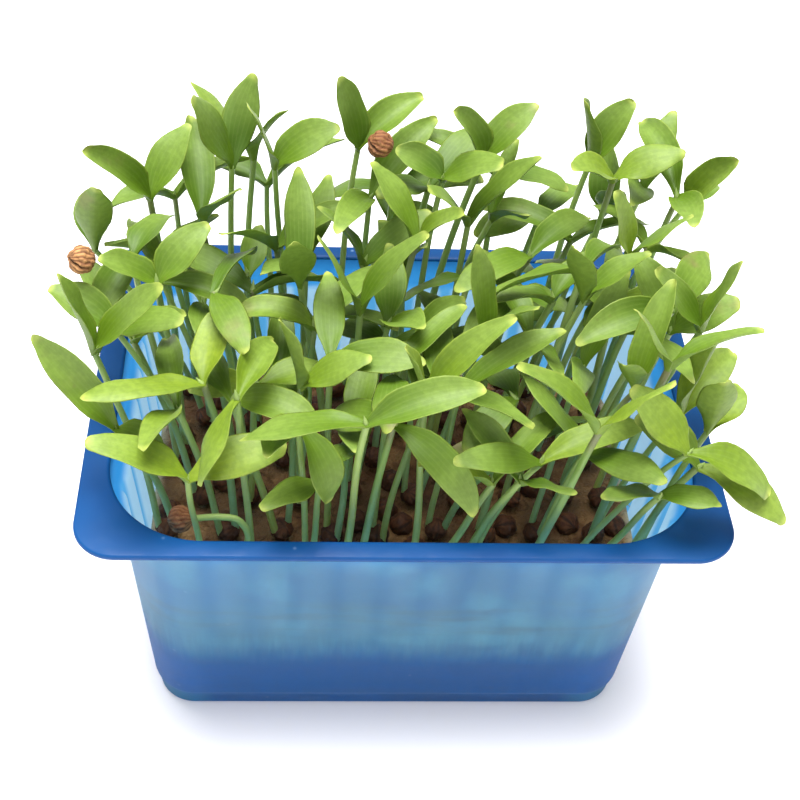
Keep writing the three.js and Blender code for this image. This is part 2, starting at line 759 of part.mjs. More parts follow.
// The rows of the four-sided stem, from the foot to just under the joint.
function stemRows(plant, joint) {
  const rows = [];
  const last = 1 - JOINT_DROP / plant.start.distanceTo(plant.top);
  for (let i = 0; i <= STEM_STEPS; i += 1) {
    const share = i < STEM_STEPS ? i / STEM_STEPS : last;
    const radius = STEM_RADIUS + (STEM_TOP_RADIUS - STEM_RADIUS) * share;
    const along = stemDirection(plant, share);
    const right = joint.across.clone();
    right.addScaledVector(along, -right.dot(along)).normalize();
    const ahead = right.clone().cross(along);
    rows.push([45, 315, 225, 135].map((angle) => stemPoint(plant, share)
      .addScaledVector(right, radius * Math.cos(angle * RADIANS))
      .addScaledVector(ahead, radius * Math.sin(angle * RADIANS))));
  }
  return rows;
}

// One seedling as one skin: the underside of the joint is left open and meets the stem.
function buildPlant(plant) {
  const [first, second] = plant.leaves.map((leaf) => leafFrame(plant, leaf, 0));
  const across = second.across.clone().sub(first.across).normalize();
  const onward = second.along.clone().sub(first.along);
  onward.addScaledVector(across, -onward.dot(across)).normalize();
  const joint = { across, onward, normal: onward.clone().cross(across) };
  const skin = { positions: [], faces: [] };
  const jointIndex = LEAF_STATIONS.length + 1;
  const openBelow = (row, side) => row === jointIndex && side < 2;
  const blade = addRows(skin, bladeRows(plant, joint), openBelow);
  const stem = addRows(skin, stemRows(plant, joint));
  closeStart(skin, stem[0], 4);
  const [leftBack, underBack, rightBack] = [0, 1, 2].map((k) => blade[jointIndex] + k);
  const [leftFront, underFront, rightFront] = [0, 1, 2].map((k) => blade[jointIndex + 1] + k);
  const [stemRightFront, stemRightBack, stemLeftBack, stemLeftFront] = [0, 1, 2, 3]
    .map((k) => stem[STEM_STEPS] + k);
  skin.faces.push(
    [leftBack, underBack, stemLeftBack],
    [underBack, stemRightBack, stemLeftBack],
    [underBack, rightBack, stemRightBack],
    [rightBack, stemRightFront, stemRightBack],
    [rightBack, rightFront, stemRightFront],
    [rightFront, underFront, stemRightFront],
    [underFront, stemLeftFront, stemRightFront],
    [underFront, leftFront, stemLeftFront],
    [leftFront, stemLeftBack, stemLeftFront],
    [leftFront, leftBack, stemLeftBack],
  );
  return solid(geometryFrom(skin));
}

function huskBall(x, y, z, turn, { sides, rings }) {
  const ball = new THREE.SphereGeometry(HUSK_RADIUS, sides, rings);
  ball.rotateX(90 * RADIANS);
  ball.scale(1, 1, HUSK_SQUASH);
  ball.rotateZ(turn);
  ball.translate(x, y, z);
  return solid(ball);
}

function peg(foot, radius, top, bottom) {
  const prism = new THREE.CylinderGeometry(radius, radius, top - bottom, 4);
  prism.rotateX(90 * RADIANS);
  prism.translate(foot.x, foot.y, (top + bottom) / 2);
  return solid(prism);
}

function buildPair(foot, pair) {
  return fuse([
    huskBall(foot.x, foot.y, HUSK_HEIGHT, foot.turn, PAIR_HUSK),
    peg(foot, ROOT_RADIUS, HUSK_HEIGHT, PAD_TOP - ROOT_DEPTH),
    ...pair.map(buildPlant),
  ]);
}

function buildLateSprout() {
  const curve = sproutCurve();
  const rows = [];
  for (let i = 0; i <= LATE_SPROUT_STEPS; i += 1) {
    const share = i / LATE_SPROUT_STEPS;
    const along = curve.getTangent(share);
    const side = point(0, -1, 0).addScaledVector(along, along.y).normalize();
    const other = along.clone().cross(side);
    rows.push([0, 90, 180, 270].map((angle) => curve.getPoint(share)
      .addScaledVector(side, LATE_SPROUT_RADIUS * Math.cos(angle * RADIANS))
      .addScaledVector(other, LATE_SPROUT_RADIUS * Math.sin(angle * RADIANS))));
  }
  return solid(loft(rows));
}

// ---------- fibre pad ----------

function padHusks(feet, plants) {
  const random = seededRandom(SEED + 1);
  const outline = padOutline(PAD_TOP);
  const low = [...plants.flatMap(stemSamples), ...lateSprout()]
    .filter(({ at }) => at.z < PAD_TOP + LOW_STEM);
  const husks = [];
  for (let attempt = 0; attempt < HUSK_TRIES && husks.length < HUSK_COUNT; attempt += 1) {
    const x = (2 * random() - 1) * outline.x;
    const y = (2 * random() - 1) * outline.y;
    const turn = random() * 360 * RADIANS;
    const centre = point(x, y, PAD_TOP + HUSK_LIFT);
    const clear = edgeDistance(x, y, outline) < -HUSK_RADIUS - PAD_GAP
      && feet.every((foot) => Math.hypot(foot.x - x, foot.y - y) > 2 * HUSK_RADIUS + PAD_GAP)
      && husks.every((husk) => Math.hypot(husk.x - x, husk.y - y) > HUSK_SPACING)
      && low.every(({ at }) => at.distanceTo(centre) > HUSK_RADIUS + STEM_RADIUS + CLEARANCE);
    if (clear) husks.push({ x, y, turn });
  }
  return husks;
}

function buildPad(feet, plants) {
  const bottom = LEDGE_HEIGHT + PAD_GAP;
  let pad = solid(loft([
    roundedRow(padOutline(bottom), bottom, PAD_EDGE_STEPS),
    roundedRow(padOutline(PAD_TOP), PAD_TOP, PAD_EDGE_STEPS),
  ]));
  const husks = padHusks(feet, plants).map(({ x, y, turn }) => (
    huskBall(x, y, PAD_TOP + HUSK_LIFT, turn, LYING_HUSK)));
  pad = fuse([pad, ...husks]);
  const [x, y] = LATE_SPROUT[0];
  [...feet, { x, y }].forEach((foot) => {
    pad = pad.subtract(peg(foot, HOLE_RADIUS, PAD_TOP + HOLE_CUT_ABOVE, PAD_TOP - HOLE_DEPTH));
  });
  return pad;
}

// ---------- assembly ----------

const BLUE_PLASTIC = { color: 0x2f7fc4, roughness: 0.35 };
const BROWN_FIBRE = { color: 0x6b4e35, roughness: 0.95 };
const GREEN_LEAF = { color: 0x83b84a, roughness: 0.55 };
const PALE_SPROUT = { color: 0xa9b46a, roughness: 0.6 };
const DRY_HUSK = { color: 0x8c5f3a, roughness: 0.9 };

const feet = pairFeet();
const pairs = growAll(feet);
const plants = pairs.flat().filter((plant) => plant);
const part = new THREE.Group();

part.add(node('tray', buildTray(), BLUE_PLASTIC));
part.add(node('fibre_pad', buildPad(feet, plants), BROWN_FIBRE));
pairs.forEach((pair, index) => {
  const name = `seedling_pair_${String(index + 1).padStart(2, '0')}`;
  part.add(node(name, buildPair(feet[index], pair.filter((plant) => plant)), GREEN_LEAF));
});
part.add(node('late_sprout', buildLateSprout(), PALE_SPROUT));
[...raisedHusks(pairs).map(({ at }) => at), sproutHusk()].forEach((at, index) => {
  const husk = huskBall(at.x, at.y, at.z, 0, RAISED_HUSK);
  part.add(node(`raised_husk_${index + 1}`, husk, DRY_HUSK));
});

export default part;
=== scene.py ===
import math

import bpy
from mathutils import Matrix, Vector


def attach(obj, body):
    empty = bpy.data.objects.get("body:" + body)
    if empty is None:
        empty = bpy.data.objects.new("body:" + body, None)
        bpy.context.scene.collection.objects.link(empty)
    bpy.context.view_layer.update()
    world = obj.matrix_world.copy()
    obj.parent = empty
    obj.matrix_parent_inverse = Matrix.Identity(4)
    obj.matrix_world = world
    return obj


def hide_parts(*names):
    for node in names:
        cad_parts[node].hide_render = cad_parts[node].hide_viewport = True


# A tray of coriander microgreens: a blue plastic tray, a felted fibre pad strewn with spent
# husks, and the young seedlings that grow from them. The sizes below are in millimetres, and
# meshes are made in metres.
MM = 0.001

# Tray
RIM_WIDTH = 98
RIM_DEPTH = 70
TRAY_HEIGHT = 53
RIM_CORNER = 6.5
RIM_SIDE = 4.2
RIM_END = 3.2
RIM_THICKNESS = 1.1
OPENING_CORNER = 15
WALL = 0.9
DRAFT_X = 4.2
DRAFT_Y = 5
SHOULDER = 0.8
BASE_CORNER = 6
FLOOR = 1.1
FOOT_INSET = 0.5
LONG_SIDE_RIBS = 9
SHORT_SIDE_RIBS = 5
CORNER_RIBS = 3
RIB_POINTS = 8
RIB_RELIEF = 0.8
RIB_TOP = 46.8
SMOOTH_BAND = 48.5
LEDGE_HEIGHT = 16
LEDGE_RELIEF = 2
LOWER_WALL_EXTRA = 0.4

# Fibre pad and husks
PAD_TOP = 29
PAD_GAP = 0.3
HUSK_RADIUS = 2.2
HUSK_SQUASH = 0.88
HUSK_COUNT = 44
HUSK_TRIES = 900
HUSK_SPACING = 3.6
HUSK_LIFT = 0.7
LOW_STEM = 6
HUSK_HEIGHT = PAD_TOP + PAD_GAP + HUSK_RADIUS * HUSK_SQUASH

# Seedlings: each pair grows from one husk
SEED = 4217
COLUMNS = 9
ROWS = 6
COLUMN_STEP = 8.7
ROW_STEP = 8.8
ROW_STAGGER = 2.1
FOOT_JITTER = 1.3
FOOT_MARGIN = 2.9
FOOT_PULL = 0.98
PAIR_SPREAD = 1.3

# Stems. A range is its lowest and highest value, and angles are in degrees.
STEM_RADIUS = 0.82
STEM_TOP_RADIUS = 0.66
STEM_TOPS = (65, 80)  # at the front and at the back
STEM_TOP_STRAY = (-8, 8)
STEM_SPREAD = (1.5, 6)
STEM_STRAY = (-3, 3)
FAN_OUT = 1.17
LEAN_RIGHT = 1.8
STEM_BOW = (0.1, 0.5)
SET_STEM_BOW = 0.3
BEND_HEIGHT = 0.55

# Leaves. Open leaves lie flatter and droop more than young upright ones.
LEAF_LENGTH = (12.5, 19.5)
LEAF_WIDTH = (4.1, 5.7)
SET_LEAF_WIDTH = 5.4
LEAF_THICKNESS = 1
LEAF_CUP = 0.22
STALK_HALF_WIDTH = 0.5
STALK_TAPER = (0.2, 3)
WIDEST_SHIFT = 1.08
BLADE_FULLNESS = 0.75
LEAF_RISE = (78, 16)
LEAF_RISE_STRAY = (-16, 16)
LEAF_DROOP = (14, 60)
LEAF_DROOP_STRAY = (-12, 24)
LEAF_TURN_STRAY = (-38, 38)
LEAF_ROLL = (-30, 30)

# Room to grow
HUSK_OUTLOOK = (1.9, -9, 7.7)
OUTLOOK_STEPS = 3
REACH = {"left": -50, "right": 48, "front": -33, "back": 36, "top": 93}
LOWEST_LEAF = 57
WALL_CLEARANCE = 1.2
RIM_CLEARANCE = 1.4
CLEARANCE = 0.45
JOINT_ROOM = 3.5
SAMPLE_STEP = 1.1
CUBE = 2.4
STEM_TRIES = 400
LEAF_TRIES = 60

# Seedlings round the edge whose place is set: row and column of the husk, which of its two
# seedlings, the top of the stem, and the tip, droop and roll in degrees of each leaf.
SET_PLANTS = [
    (1, 0, 0, (-42.6, -19.6, 63), [((-52.8, -16, 79), 18, -50), ((-35.2, -27, 63.4), 55, 10)]),
    (2, 0, 0, (-43.6, -6, 70), [((-53.2, -3, 75.5), 50, -30), ((-33, -12, 77), 40, 20)]),
    (3, 0, 0, (-38, 2, 72), [((-46, -0.5, 78.6), 30, -20), ((-30, 8, 79), 45, 30)]),
    (4, 0, 0, (-48.2, 10, 72), [((-46.4, 5.4, 87.5), 16, -10), ((-50, 20, 76), 60, 0)]),
    (5, 0, 0, (-40.4, 20, 74.2), [((-49, 14, 88), 22, -50), ((-34, 27, 84), 40, 20)]),
    (5, 1, 0, (-27.2, 20, 81), [((-32.4, 17, 96), 14, -60), ((-23.4, 27, 93.4), 40, 40)]),
    (5, 2, 0, (-20.5, 20.5, 80.6), [((-24.2, 15.5, 95), 16, -40), ((-10.5, 22, 88), 55, 40)]),
    (5, 3, 0, (-7.4, 24.5, 81.6), [((-10.7, 23, 96), 12, -70), ((3, 30, 88), 45, 20)]),
    (5, 5, 0, (12.6, 24, 80), [((7, 22, 91.6), 28, -50), ((21, 27, 89), 45, 20)]),
    (5, 7, 0, (30.8, 27, 78), [((27, 22.5, 92.5), 14, -50), ((36.5, 29, 89), 35, 40)]),
    (5, 8, 0, (46, 20, 74.8), [((51, 16, 87.4), 20, 50), ((52, 27, 74.5), 50, 10)]),
    (4, 7, 0, (33, 19, 80.4), [((43.5, 18.5, 86), 60, 20), ((24.5, 14, 87), 40, -20)]),
    (4, 4, 0, (6, 19.5, 79.6), [((-1.8, 20, 85), 30, -20), ((14.5, 14, 87.5), 35, 30)]),
    (2, 8, 0, (41.8, 0, 65.6), [((51, -1.5, 73), 45, 30), ((35, 8, 75), 40, -20)]),
    (1, 8, 0, (42.2, -13, 61), [((44.2, -14.5, 78.4), 14, 40), ((50.5, -4, 66), 60, 20)]),
    (0, 8, 0, (43.6, -21, 65.4), [((43, -23.5, 78.4), 12, 0), ((49.5, -14, 68), 60, 0)]),
    (0, 8, 1, (41.6, -26, 63.2), [((54.8, -31.6, 57.6), 62, 10), ((32, -22, 70), 40, -20)]),
    (0, 7, 0, (38.6, -28.2, 68.6), [((51.4, -30, 62.4), 66, 10), ((29.6, -24, 77.6), 30, -30)]),
    (0, 2, 0, (-16.3, -23.6, 68.8), [((-20, -33, 72), 60, 0), ((-11.8, -28.4, 57.6), 76, 0)]),
]
CAPPED_LEAVES = [(3, 0, 0, 0), (4, 4, 0, 0)]  # row, column, seedling and leaf that wear a husk
LATE_SPROUT = [
    (-27.4, -25.2, 25.8),
    (-27, -25.2, 31),
    (-25.4, -24.6, 38),
    (-23.8, -23.6, 43.5),
    (-25.4, -22.8, 46.4),
    (-28.4, -22.4, 46.6),
    (-31.8, -22.2, 46),
]
LATE_SPROUT_RADIUS = 0.6
LATE_SPROUT_STEPS = 12

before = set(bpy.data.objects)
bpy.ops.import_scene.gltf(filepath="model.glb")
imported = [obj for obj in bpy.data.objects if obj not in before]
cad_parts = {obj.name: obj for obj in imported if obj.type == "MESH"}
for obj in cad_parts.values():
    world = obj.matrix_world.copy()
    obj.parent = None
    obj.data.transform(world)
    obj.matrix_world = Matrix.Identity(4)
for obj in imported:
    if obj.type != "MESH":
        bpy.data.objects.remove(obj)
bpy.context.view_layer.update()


# ---------- where everything grows ----------


def seeded(seed):
    """Uniform numbers from 0 to 1, the same each time for a given seed."""
    state = seed

    def draw():
        nonlocal state
        state = (state + 0x6D2B79F5) & 0xFFFFFFFF
        mixed = ((state ^ (state >> 15)) * (1 | state)) & 0xFFFFFFFF
        more = ((mixed ^ (mixed >> 7)) * (61 | mixed)) & 0xFFFFFFFF
        mixed = ((mixed + more) & 0xFFFFFFFF) ^ mixed
        return (mixed ^ (mixed >> 14)) / 4294967296

    return draw


def shifted(point, direction, by):
    """The point moved by so much along a direction."""
    return tuple(p + d * by for p, d in zip(point, direction))


def part_way(start, end, share):
    return tuple(a + (b - a) * share for a, b in zip(start, end))


def crossed(a, b):
    return (a[1] * b[2] - a[2] * b[1], a[2] * b[0] - a[0] * b[2], a[0] * b[1] - a[1] * b[0])


def cavity_at(z):
    """Half sizes and corner radius of the tray's cavity at a height."""
    share = 1 - z / TRAY_HEIGHT
    ramp = (SMOOTH_BAND - z) / (SMOOTH_BAND - RIB_TOP)
    shoulder = SHOULDER * min(1, max(0, ramp))
    return (
        RIM_WIDTH / 2 - RIM_SIDE - shoulder - DRAFT_X * share,
        RIM_DEPTH / 2 - RIM_END - shoulder - DRAFT_Y * share,
        OPENING_CORNER + (BASE_CORNER - OPENING_CORNER) * share,
    )


def grown(outline, by):
    return tuple(size + by for size in outline)


def edge_distance(x, y, outline):
    """Distance from a point to a rounded rectangle, negative inside it."""
    half_x, half_y, corner = outline
    dx = abs(x) - (half_x - corner)
    dy = abs(y) - (half_y - corner)
    return math.hypot(max(dx, 0), max(dy, 0)) + min(max(dx, dy), 0) - corner


def pad_outline(z):
    return grown(cavity_at(z), -RIB_RELIEF - PAD_GAP)


def pair_feet():
    """(x, y, turn) of the husk that each pair of seedlings grows from."""
    draw = seeded(SEED)
    feet = []
    for row in range(ROWS):
        for column in range(COLUMNS):
            stagger = ROW_STAGGER if row % 2 == 0 else -ROW_STAGGER
            x = (column - (COLUMNS - 1) / 2) * COLUMN_STEP + stagger
            y = (row - (ROWS - 1) / 2) * ROW_STEP
            x += (2 * draw() - 1) * FOOT_JITTER
            y += (2 * draw() - 1) * FOOT_JITTER
            while edge_distance(x, y, pad_outline(PAD_TOP)) > -FOOT_MARGIN:
                x *= FOOT_PULL
                y *= FOOT_PULL
            feet.append((x, y, 180 * draw()))
    return feet


def stem_start(foot, side):
    x, y, turn = foot
    away = math.radians(turn + side * 180)
    return (x + PAIR_SPREAD * math.cos(away), y + PAIR_SPREAD * math.sin(away), HUSK_HEIGHT)


def between(limits, share):
    """The value at a share of the way along a range."""
    return limits[0] + (limits[1] - limits[0]) * share


def draw_stem(foot, side, loosen, random):
    """One draw of a stem. It leans outwards, more to the right, and is taller at the back."""
    x, y, turn = foot
    away = math.radians(turn + side * 180)
    spread = between(STEM_SPREAD, random())
    usual = between(STEM_TOPS, y / RIM_DEPTH + 0.5)
    middle_x = x * FAN_OUT + LEAN_RIGHT + spread * math.cos(away)
    middle_y = y * FAN_OUT + spread * math.sin(away)
    top = (
        middle_x + between(STEM_STRAY, random()) * loosen,
        middle_y + between(STEM_STRAY, random()) * loosen,
        usual + between(STEM_TOP_STRAY, random()) * loosen,
    )
    return {"start": stem_start(foot, side), "top": top, "bow": between(STEM_BOW, random())}


def draw_leaf(turn, openness, loosen, random):
    """One draw of a leaf."""
    turned = turn + between(LEAF_TURN_STRAY, random())
    rise = between(LEAF_RISE, openness) + between(LEAF_RISE_STRAY, random())
    droop = between(LEAF_DROOP, openness) + between(LEAF_DROOP_STRAY, random())
    return {
        "turn": math.radians(turned),
        "rise": math.radians(rise),
        "droop": math.radians(droop),
        "roll": math.radians(between(LEAF_ROLL, random())),
        "length": between(LEAF_LENGTH, random()) / math.sqrt(loosen),
        "width": between(LEAF_WIDTH, random()),
    }


def stem_point(plant, share):
    """The stem's centre line: upright at the foot, then leaning to the top."""
    start, top, bow = plant["start"], plant["top"], plant["bow"]
    bend = (
        start[0] + (top[0] - start[0]) * bow,
        start[1] + (top[1] - start[1]) * bow,
        start[2] + (top[2] - start[2]) * BEND_HEIGHT,
    )
    return part_way(part_way(start, bend, share), part_way(bend, top, share), share)


def leaf_frame(plant, leaf, share):
    """Centre, along, across and upward directions of a leaf at a share of its length."""
    turn, rise, droop, roll = leaf["turn"], leaf["rise"], leaf["droop"], leaf["roll"]
    now = rise - droop * share
    out = leaf["length"] * (math.sin(rise) - math.sin(now)) / droop
    up = leaf["length"] * (math.cos(now) - math.cos(rise)) / droop
    centre = shifted(plant["top"], (out * math.cos(turn), out * math.sin(turn), up), 1)
    flat = (-math.sin(turn), math.cos(turn), 0)
    along = (math.cos(now) * math.cos(turn), math.cos(now) * math.sin(turn), math.sin(now))
    face = crossed(along, flat)
    cos_roll, sin_roll = math.cos(roll), math.sin(roll)
    across = tuple(f * cos_roll + g * sin_roll for f, g in zip(flat, face))
    upward = tuple(g * cos_roll - f * sin_roll for f, g in zip(flat, face))
    return centre, along, across, upward


def half_width(leaf, share):
    """Half the leaf's width: a narrow stalk, widest about the middle, then a point."""
    blade = max(0, math.sin(math.pi * share**WIDEST_SHIFT)) ** BLADE_FULLNESS
    stalk = min(1, between(STALK_TAPER, share))
    return STALK_HALF_WIDTH * (1 - share) + leaf["width"] / 2 * blade * stalk


def stem_samples(plant):
    """(point, radius) about SAMPLE_STEP apart along a stem."""
    steps = math.ceil(math.dist(plant["start"], plant["top"]) / SAMPLE_STEP)
    return [(stem_point(plant, i / steps), STEM_RADIUS) for i in range(steps + 1)]


def leaf_samples(plant, leaf):
    """(point, radius) about SAMPLE_STEP apart over a leaf."""
    steps = math.ceil(leaf["length"] / SAMPLE_STEP)
    for i in range(2, steps + 1):
        centre, _, across, upward = leaf_frame(plant, leaf, i / steps)
        half = half_width(leaf, i / steps)
        rows = math.floor(half / SAMPLE_STEP + 0.5)
        for j in range(-rows, rows + 1):
            offset = half * j / rows if rows else 0
            at = shifted(shifted(centre, across, offset), upward, LEAF_CUP * abs(offset))
            yield at, LEAF_THICKNESS / 2


def has_room(point):
    """Whether a point is inside the opening or above the rim, and within the leaves' spread."""
    x, y, z = point
    if not (REACH["left"] < x < REACH["right"] and REACH["front"] < y < REACH["back"]):
        return False
    inside = edge_distance(x, y, cavity_at(z)) < -RIB_RELIEF - WALL_CLEARANCE
    return z < REACH["top"] and (inside or z > TRAY_HEIGHT + RIM_CLEARANCE)


class TakenSpace:
    """The space taken so far. Each point is kept in its cube and in the cubes round that."""

    def __init__(self):
        self.cubes = {}

    def add(self, samples):
        for point, radius in samples:
            x, y, z = (math.floor(c / CUBE) for c in point)
            for i in range(27):
                key = (x + i % 3 - 1, y + i // 3 % 3 - 1, z + i // 9 - 1)
                self.cubes.setdefault(key, []).append((point, radius))

    def is_free(self, point, radius):
        near = self.cubes.get(tuple(math.floor(c / CUBE) for c in point), ())
        return all(math.dist(point, other) >= size + radius + CLEARANCE for other, size in near)


def past_joint(plant, samples):
    """The samples of a seedling that aren't close to the joint of its leaves."""
    return [sample for sample in samples if math.dist(sample[0], plant["top"]) > JOINT_ROOM]


def grow_plant(foot, side, random, taken):
    """A seedling clear of the tray, of itself and of all that grew before it, or None.

    Each try strays a little further, with shorter leaves, until there is room."""

    def fits(samples, lowest=0):
        return all(at[2] > lowest and has_room(at) and taken.is_free(at, radius)
                   for at, radius in samples)

    for attempt in range(STEM_TRIES):
        loosen = 1 + attempt / STEM_TRIES
        plant = draw_stem(foot, side, loosen, random)
        stem = stem_samples(plant)
        if not fits(reversed(stem)):
            continue
        turn = 360 * random()
        openness = random()
        plant["leaves"] = leaves = []
        own = TakenSpace()
        own.add(past_joint(plant, stem))
        for which in range(2):
            tries = 0
            while tries < LEAF_TRIES and len(leaves) == which:
                tries += 1
                leaf = draw_leaf(turn + 180 * which, openness, loosen, random)
                if not fits(leaf_samples(plant, leaf), LOWEST_LEAF):
                    continue
                outer = past_joint(plant, leaf_samples(plant, leaf))
                if all(own.is_free(at, radius) for at, radius in outer):
                    leaves.append(leaf)
                    own.add(outer)
        if len(leaves) == 2:
            return plant
    return None


def leaf_to_tip(top, tip, droop, roll):
    """A leaf from its tip and droop: the chord of an even bend gives its length and slope."""
    chord = tuple(t - s for s, t in zip(top, tip))
    straight = math.hypot(*chord)
    half = math.radians(droop) / 2
    return {
        "turn": math.atan2(chord[1], chord[0]),
        "rise": math.asin(chord[2] / straight) + half,
        "droop": math.radians(droop),
        "roll": math.radians(roll),
        "length": straight * half / math.sin(half),
        "width": SET_LEAF_WIDTH,
    }


def capped_tips(pairs):
    """Centre and direction of the husk just past the tip of each leaf that wears one."""
    caps = []
    for row, column, side, leaf in CAPPED_LEAVES:
        plant = pairs[row * COLUMNS + column][side]
        centre, along, _, _ = leaf_frame(plant, plant["leaves"][leaf], 1)
        caps.append((shifted(centre, along, HUSK_RADIUS + PAD_GAP), along))
    return caps


def sprout_point(share):
    """A point on the smooth curve through LATE_SPROUT, evenly loose between its points."""
    last = len(LATE_SPROUT) - 1
    place = last * share
    index = min(int(place), last - 1)
    weight = place - index
    p1, p2 = LATE_SPROUT[index], LATE_SPROUT[index + 1]
    p0 = LATE_SPROUT[index - 1] if index else part_way(p2, p1, 2)
    p3 = LATE_SPROUT[index + 2] if index + 2 <= last else part_way(p1, p2, 2)
    gaps = [math.dist(a, b) ** 0.5 for a, b in ((p0, p1), (p1, p2), (p2, p3))]
    point = []
    for a, b, c, d in zip(p0, p1, p2, p3):
        leave = (b - a) / gaps[0] - (c - a) / (gaps[0] + gaps[1]) + (c - b) / gaps[1]
        arrive = (c - b) / gaps[1] - (d - b) / (gaps[1] + gaps[2]) + (d - c) / gaps[2]
        leave, arrive = leave * gaps[1], arrive * gaps[1]
        second = -3 * b + 3 * c - 2 * leave - arrive
        third = 2 * b - 2 * c + leave + arrive
        point.append(b + leave * weight + second * weight**2 + third * weight**3)
    return tuple(point)


def sprout_tip():
    """Centre and direction of the husk at the end of the late sprout."""
    end, before = sprout_point(1), sprout_point(1 - 1e-4)
    length = math.dist(end, before)
    along = tuple((b - a) / length for a, b in zip(before, end))
    return shifted(end, along, HUSK_RADIUS + PAD_GAP), along


def sprout_samples():
    steps = LATE_SPROUT_STEPS * 3
    samples = [(sprout_point(i / steps), LATE_SPROUT_RADIUS) for i in range(steps + 1)]
    return [*samples, (sprout_tip()[0], HUSK_RADIUS)]


def grow_all(feet):
    """The two seedlings, or fewer, of each husk. The set ones come first."""
    taken = TakenSpace()
    pairs = [[None, None] for _ in feet]

    def settle(plant, index, side):
        pairs[index][side] = plant
        taken.add(stem_samples(plant))
        for leaf in plant["leaves"]:
            taken.add(leaf_samples(plant, leaf))

    for row, column, side, top, leaves in SET_PLANTS:
        index = row * COLUMNS + column
        plant = {"start": stem_start(feet[index], side), "top": top, "bow": SET_STEM_BOW}
        plant["leaves"] = [leaf_to_tip(top, *leaf) for leaf in leaves]
        settle(plant, index, side)
    for centre, _ in capped_tips(pairs):
        taken.add([(shifted(centre, HUSK_OUTLOOK, step / OUTLOOK_STEPS), HUSK_RADIUS)
                   for step in range(OUTLOOK_STEPS + 1)])
    taken.add(sprout_samples())
    for side in range(2):
        for index, foot in enumerate(feet):
            if pairs[index][side]:
                continue
            plant = grow_plant(foot, side, seeded(SEED + 101 * (index + 1) + side), taken)
            if plant:
                settle(plant, index, side)
    return pairs


def lying_husks(feet, plants):
    """(x, y, turn) of the spent husks that lie on the pad."""
    draw = seeded(SEED + 1)
    outline = pad_outline(PAD_TOP)
    low = [s for plant in plants for s in stem_samples(plant)] + sprout_samples()
    low = [point for point, _ in low if point[2] < PAD_TOP + LOW_STEM]
    husks = []
    for _ in range(HUSK_TRIES):
        x = (2 * draw() - 1) * outline[0]
        y = (2 * draw() - 1) * outline[1]
        turn = 2 * math.pi * draw()
        centre = (x, y, PAD_TOP + HUSK_LIFT)
        clear = (
            edge_distance(x, y, outline) < -HUSK_RADIUS - PAD_GAP
            and all(math.hypot(f[0] - x, f[1] - y) > 2 * HUSK_RADIUS + PAD_GAP for f in feet)
            and all(math.hypot(h[0] - x, h[1] - y) > HUSK_SPACING for h in husks)
            and all(math.dist(p, centre) > HUSK_RADIUS + STEM_RADIUS + CLEARANCE for p in low)
        )
        if clear:
            husks.append((x, y, turn))
        if len(husks) == HUSK_COUNT:
            break
    return husks


feet = pair_feet()
pairs = grow_all(feet)
plants = [plant for pair in pairs for plant in pair if plant]


# ---------- helpers for meshes and node trees ----------


def plug(socket, value):
    """Gives a socket a value, or wires another node's output to it."""
    if isinstance(value, bpy.types.NodeSocket):
        socket.id_data.links.new(value, socket)
    else:
        socket.default_value = value


def put(tree, kind, wires=(), **settings):
    """Adds a node. wires maps each input to a value or to another node's output."""
    node = tree.nodes.new(kind)
    for name, value in settings.items():
        setattr(node, name, value)
    for key, value in dict(wires).items():
        plug(node.inputs[key], value)
    return node


def tree_of(*values):
    """The node tree of the first socket among some values."""
    return next(value.id_data for value in values if isinstance(value, bpy.types.NodeSocket))


def calc(operation, *values):
    """A number worked out from others. As in the helpers below, one or more of them is a socket."""
    tree = tree_of(*values)
    return put(tree, "ShaderNodeMath", enumerate(values), operation=operation).outputs[0]


def times(product, *factors):
    for factor in factors:
        product = calc("MULTIPLY", product, factor)
    return product


def calc_vector(operation, *values):
    tree = tree_of(*values)
    return put(tree, "ShaderNodeVectorMath", enumerate(values), operation=operation).outputs[0]


def stretch(vector, by):
    """The vector scaled by one number."""
    wires = {"Vector": vector, "Scale": by}
    return put(tree_of(vector), "ShaderNodeVectorMath", wires, operation="SCALE").outputs[0]


def split(vector):
    """The X, Y and Z of a vector."""
    return put(tree_of(vector), "ShaderNodeSeparateXYZ", {0: vector}).outputs


def join(x=0.0, y=0.0, z=0.0):
    """A vector from its X, Y and Z."""
    return put(tree_of(x, y, z), "ShaderNodeCombineXYZ", enumerate((x, y, z))).outputs[0]


def remap(value, old_low, old_high, new_low=0.0, new_high=1.0):
    """A smooth step from one range to another. A falling step has its higher value first."""
    wires = enumerate((value, old_low, old_high, new_low, new_high))
    node = put(tree_of(value), "ShaderNodeMapRange", wires, interpolation_type="SMOOTHSTEP")
    return node.outputs[0]


def new_tree(name, kind, takes, gives):
    """An empty node group, its inputs by name, and its output node."""
    tree = bpy.data.node_groups.new(name, kind)
    for label, socket, value in takes:
        made = tree.interface.new_socket(label, in_out="INPUT", socket_type="NodeSocket" + socket)
        if value is not None:
            made.default_value = value
    tree.interface.new_socket(gives[0], in_out="OUTPUT", socket_type="NodeSocket" + gives[1])
    start = tree.nodes.new("NodeGroupInput")
    end = tree.nodes.new("NodeGroupOutput")
    return tree, start.outputs, end


def geometry_tree(name, sizes):
    """A geometry tree that takes a mesh, a material and named sizes."""
    takes = [("Geometry", "Geometry", None), *sizes, ("Material", "Material", None)]
    return new_tree(name, "GeometryNodeTree", takes, ("Geometry", "Geometry"))


def close_tree(tree, end, shape, material=None):
    """Ends a geometry tree: real meshes, smooth shading and the material, if it sets one."""
    shape = put(tree, "GeometryNodeRealizeInstances", {0: shape}).outputs[0]
    shape = put(tree, "GeometryNodeSetShadeSmooth", {0: shape}).outputs[0]
    if material:
        shape = put(tree, "GeometryNodeSetMaterial", {0: shape, 2: material}).outputs[0]
    plug(end.inputs[0], shape)
    return tree


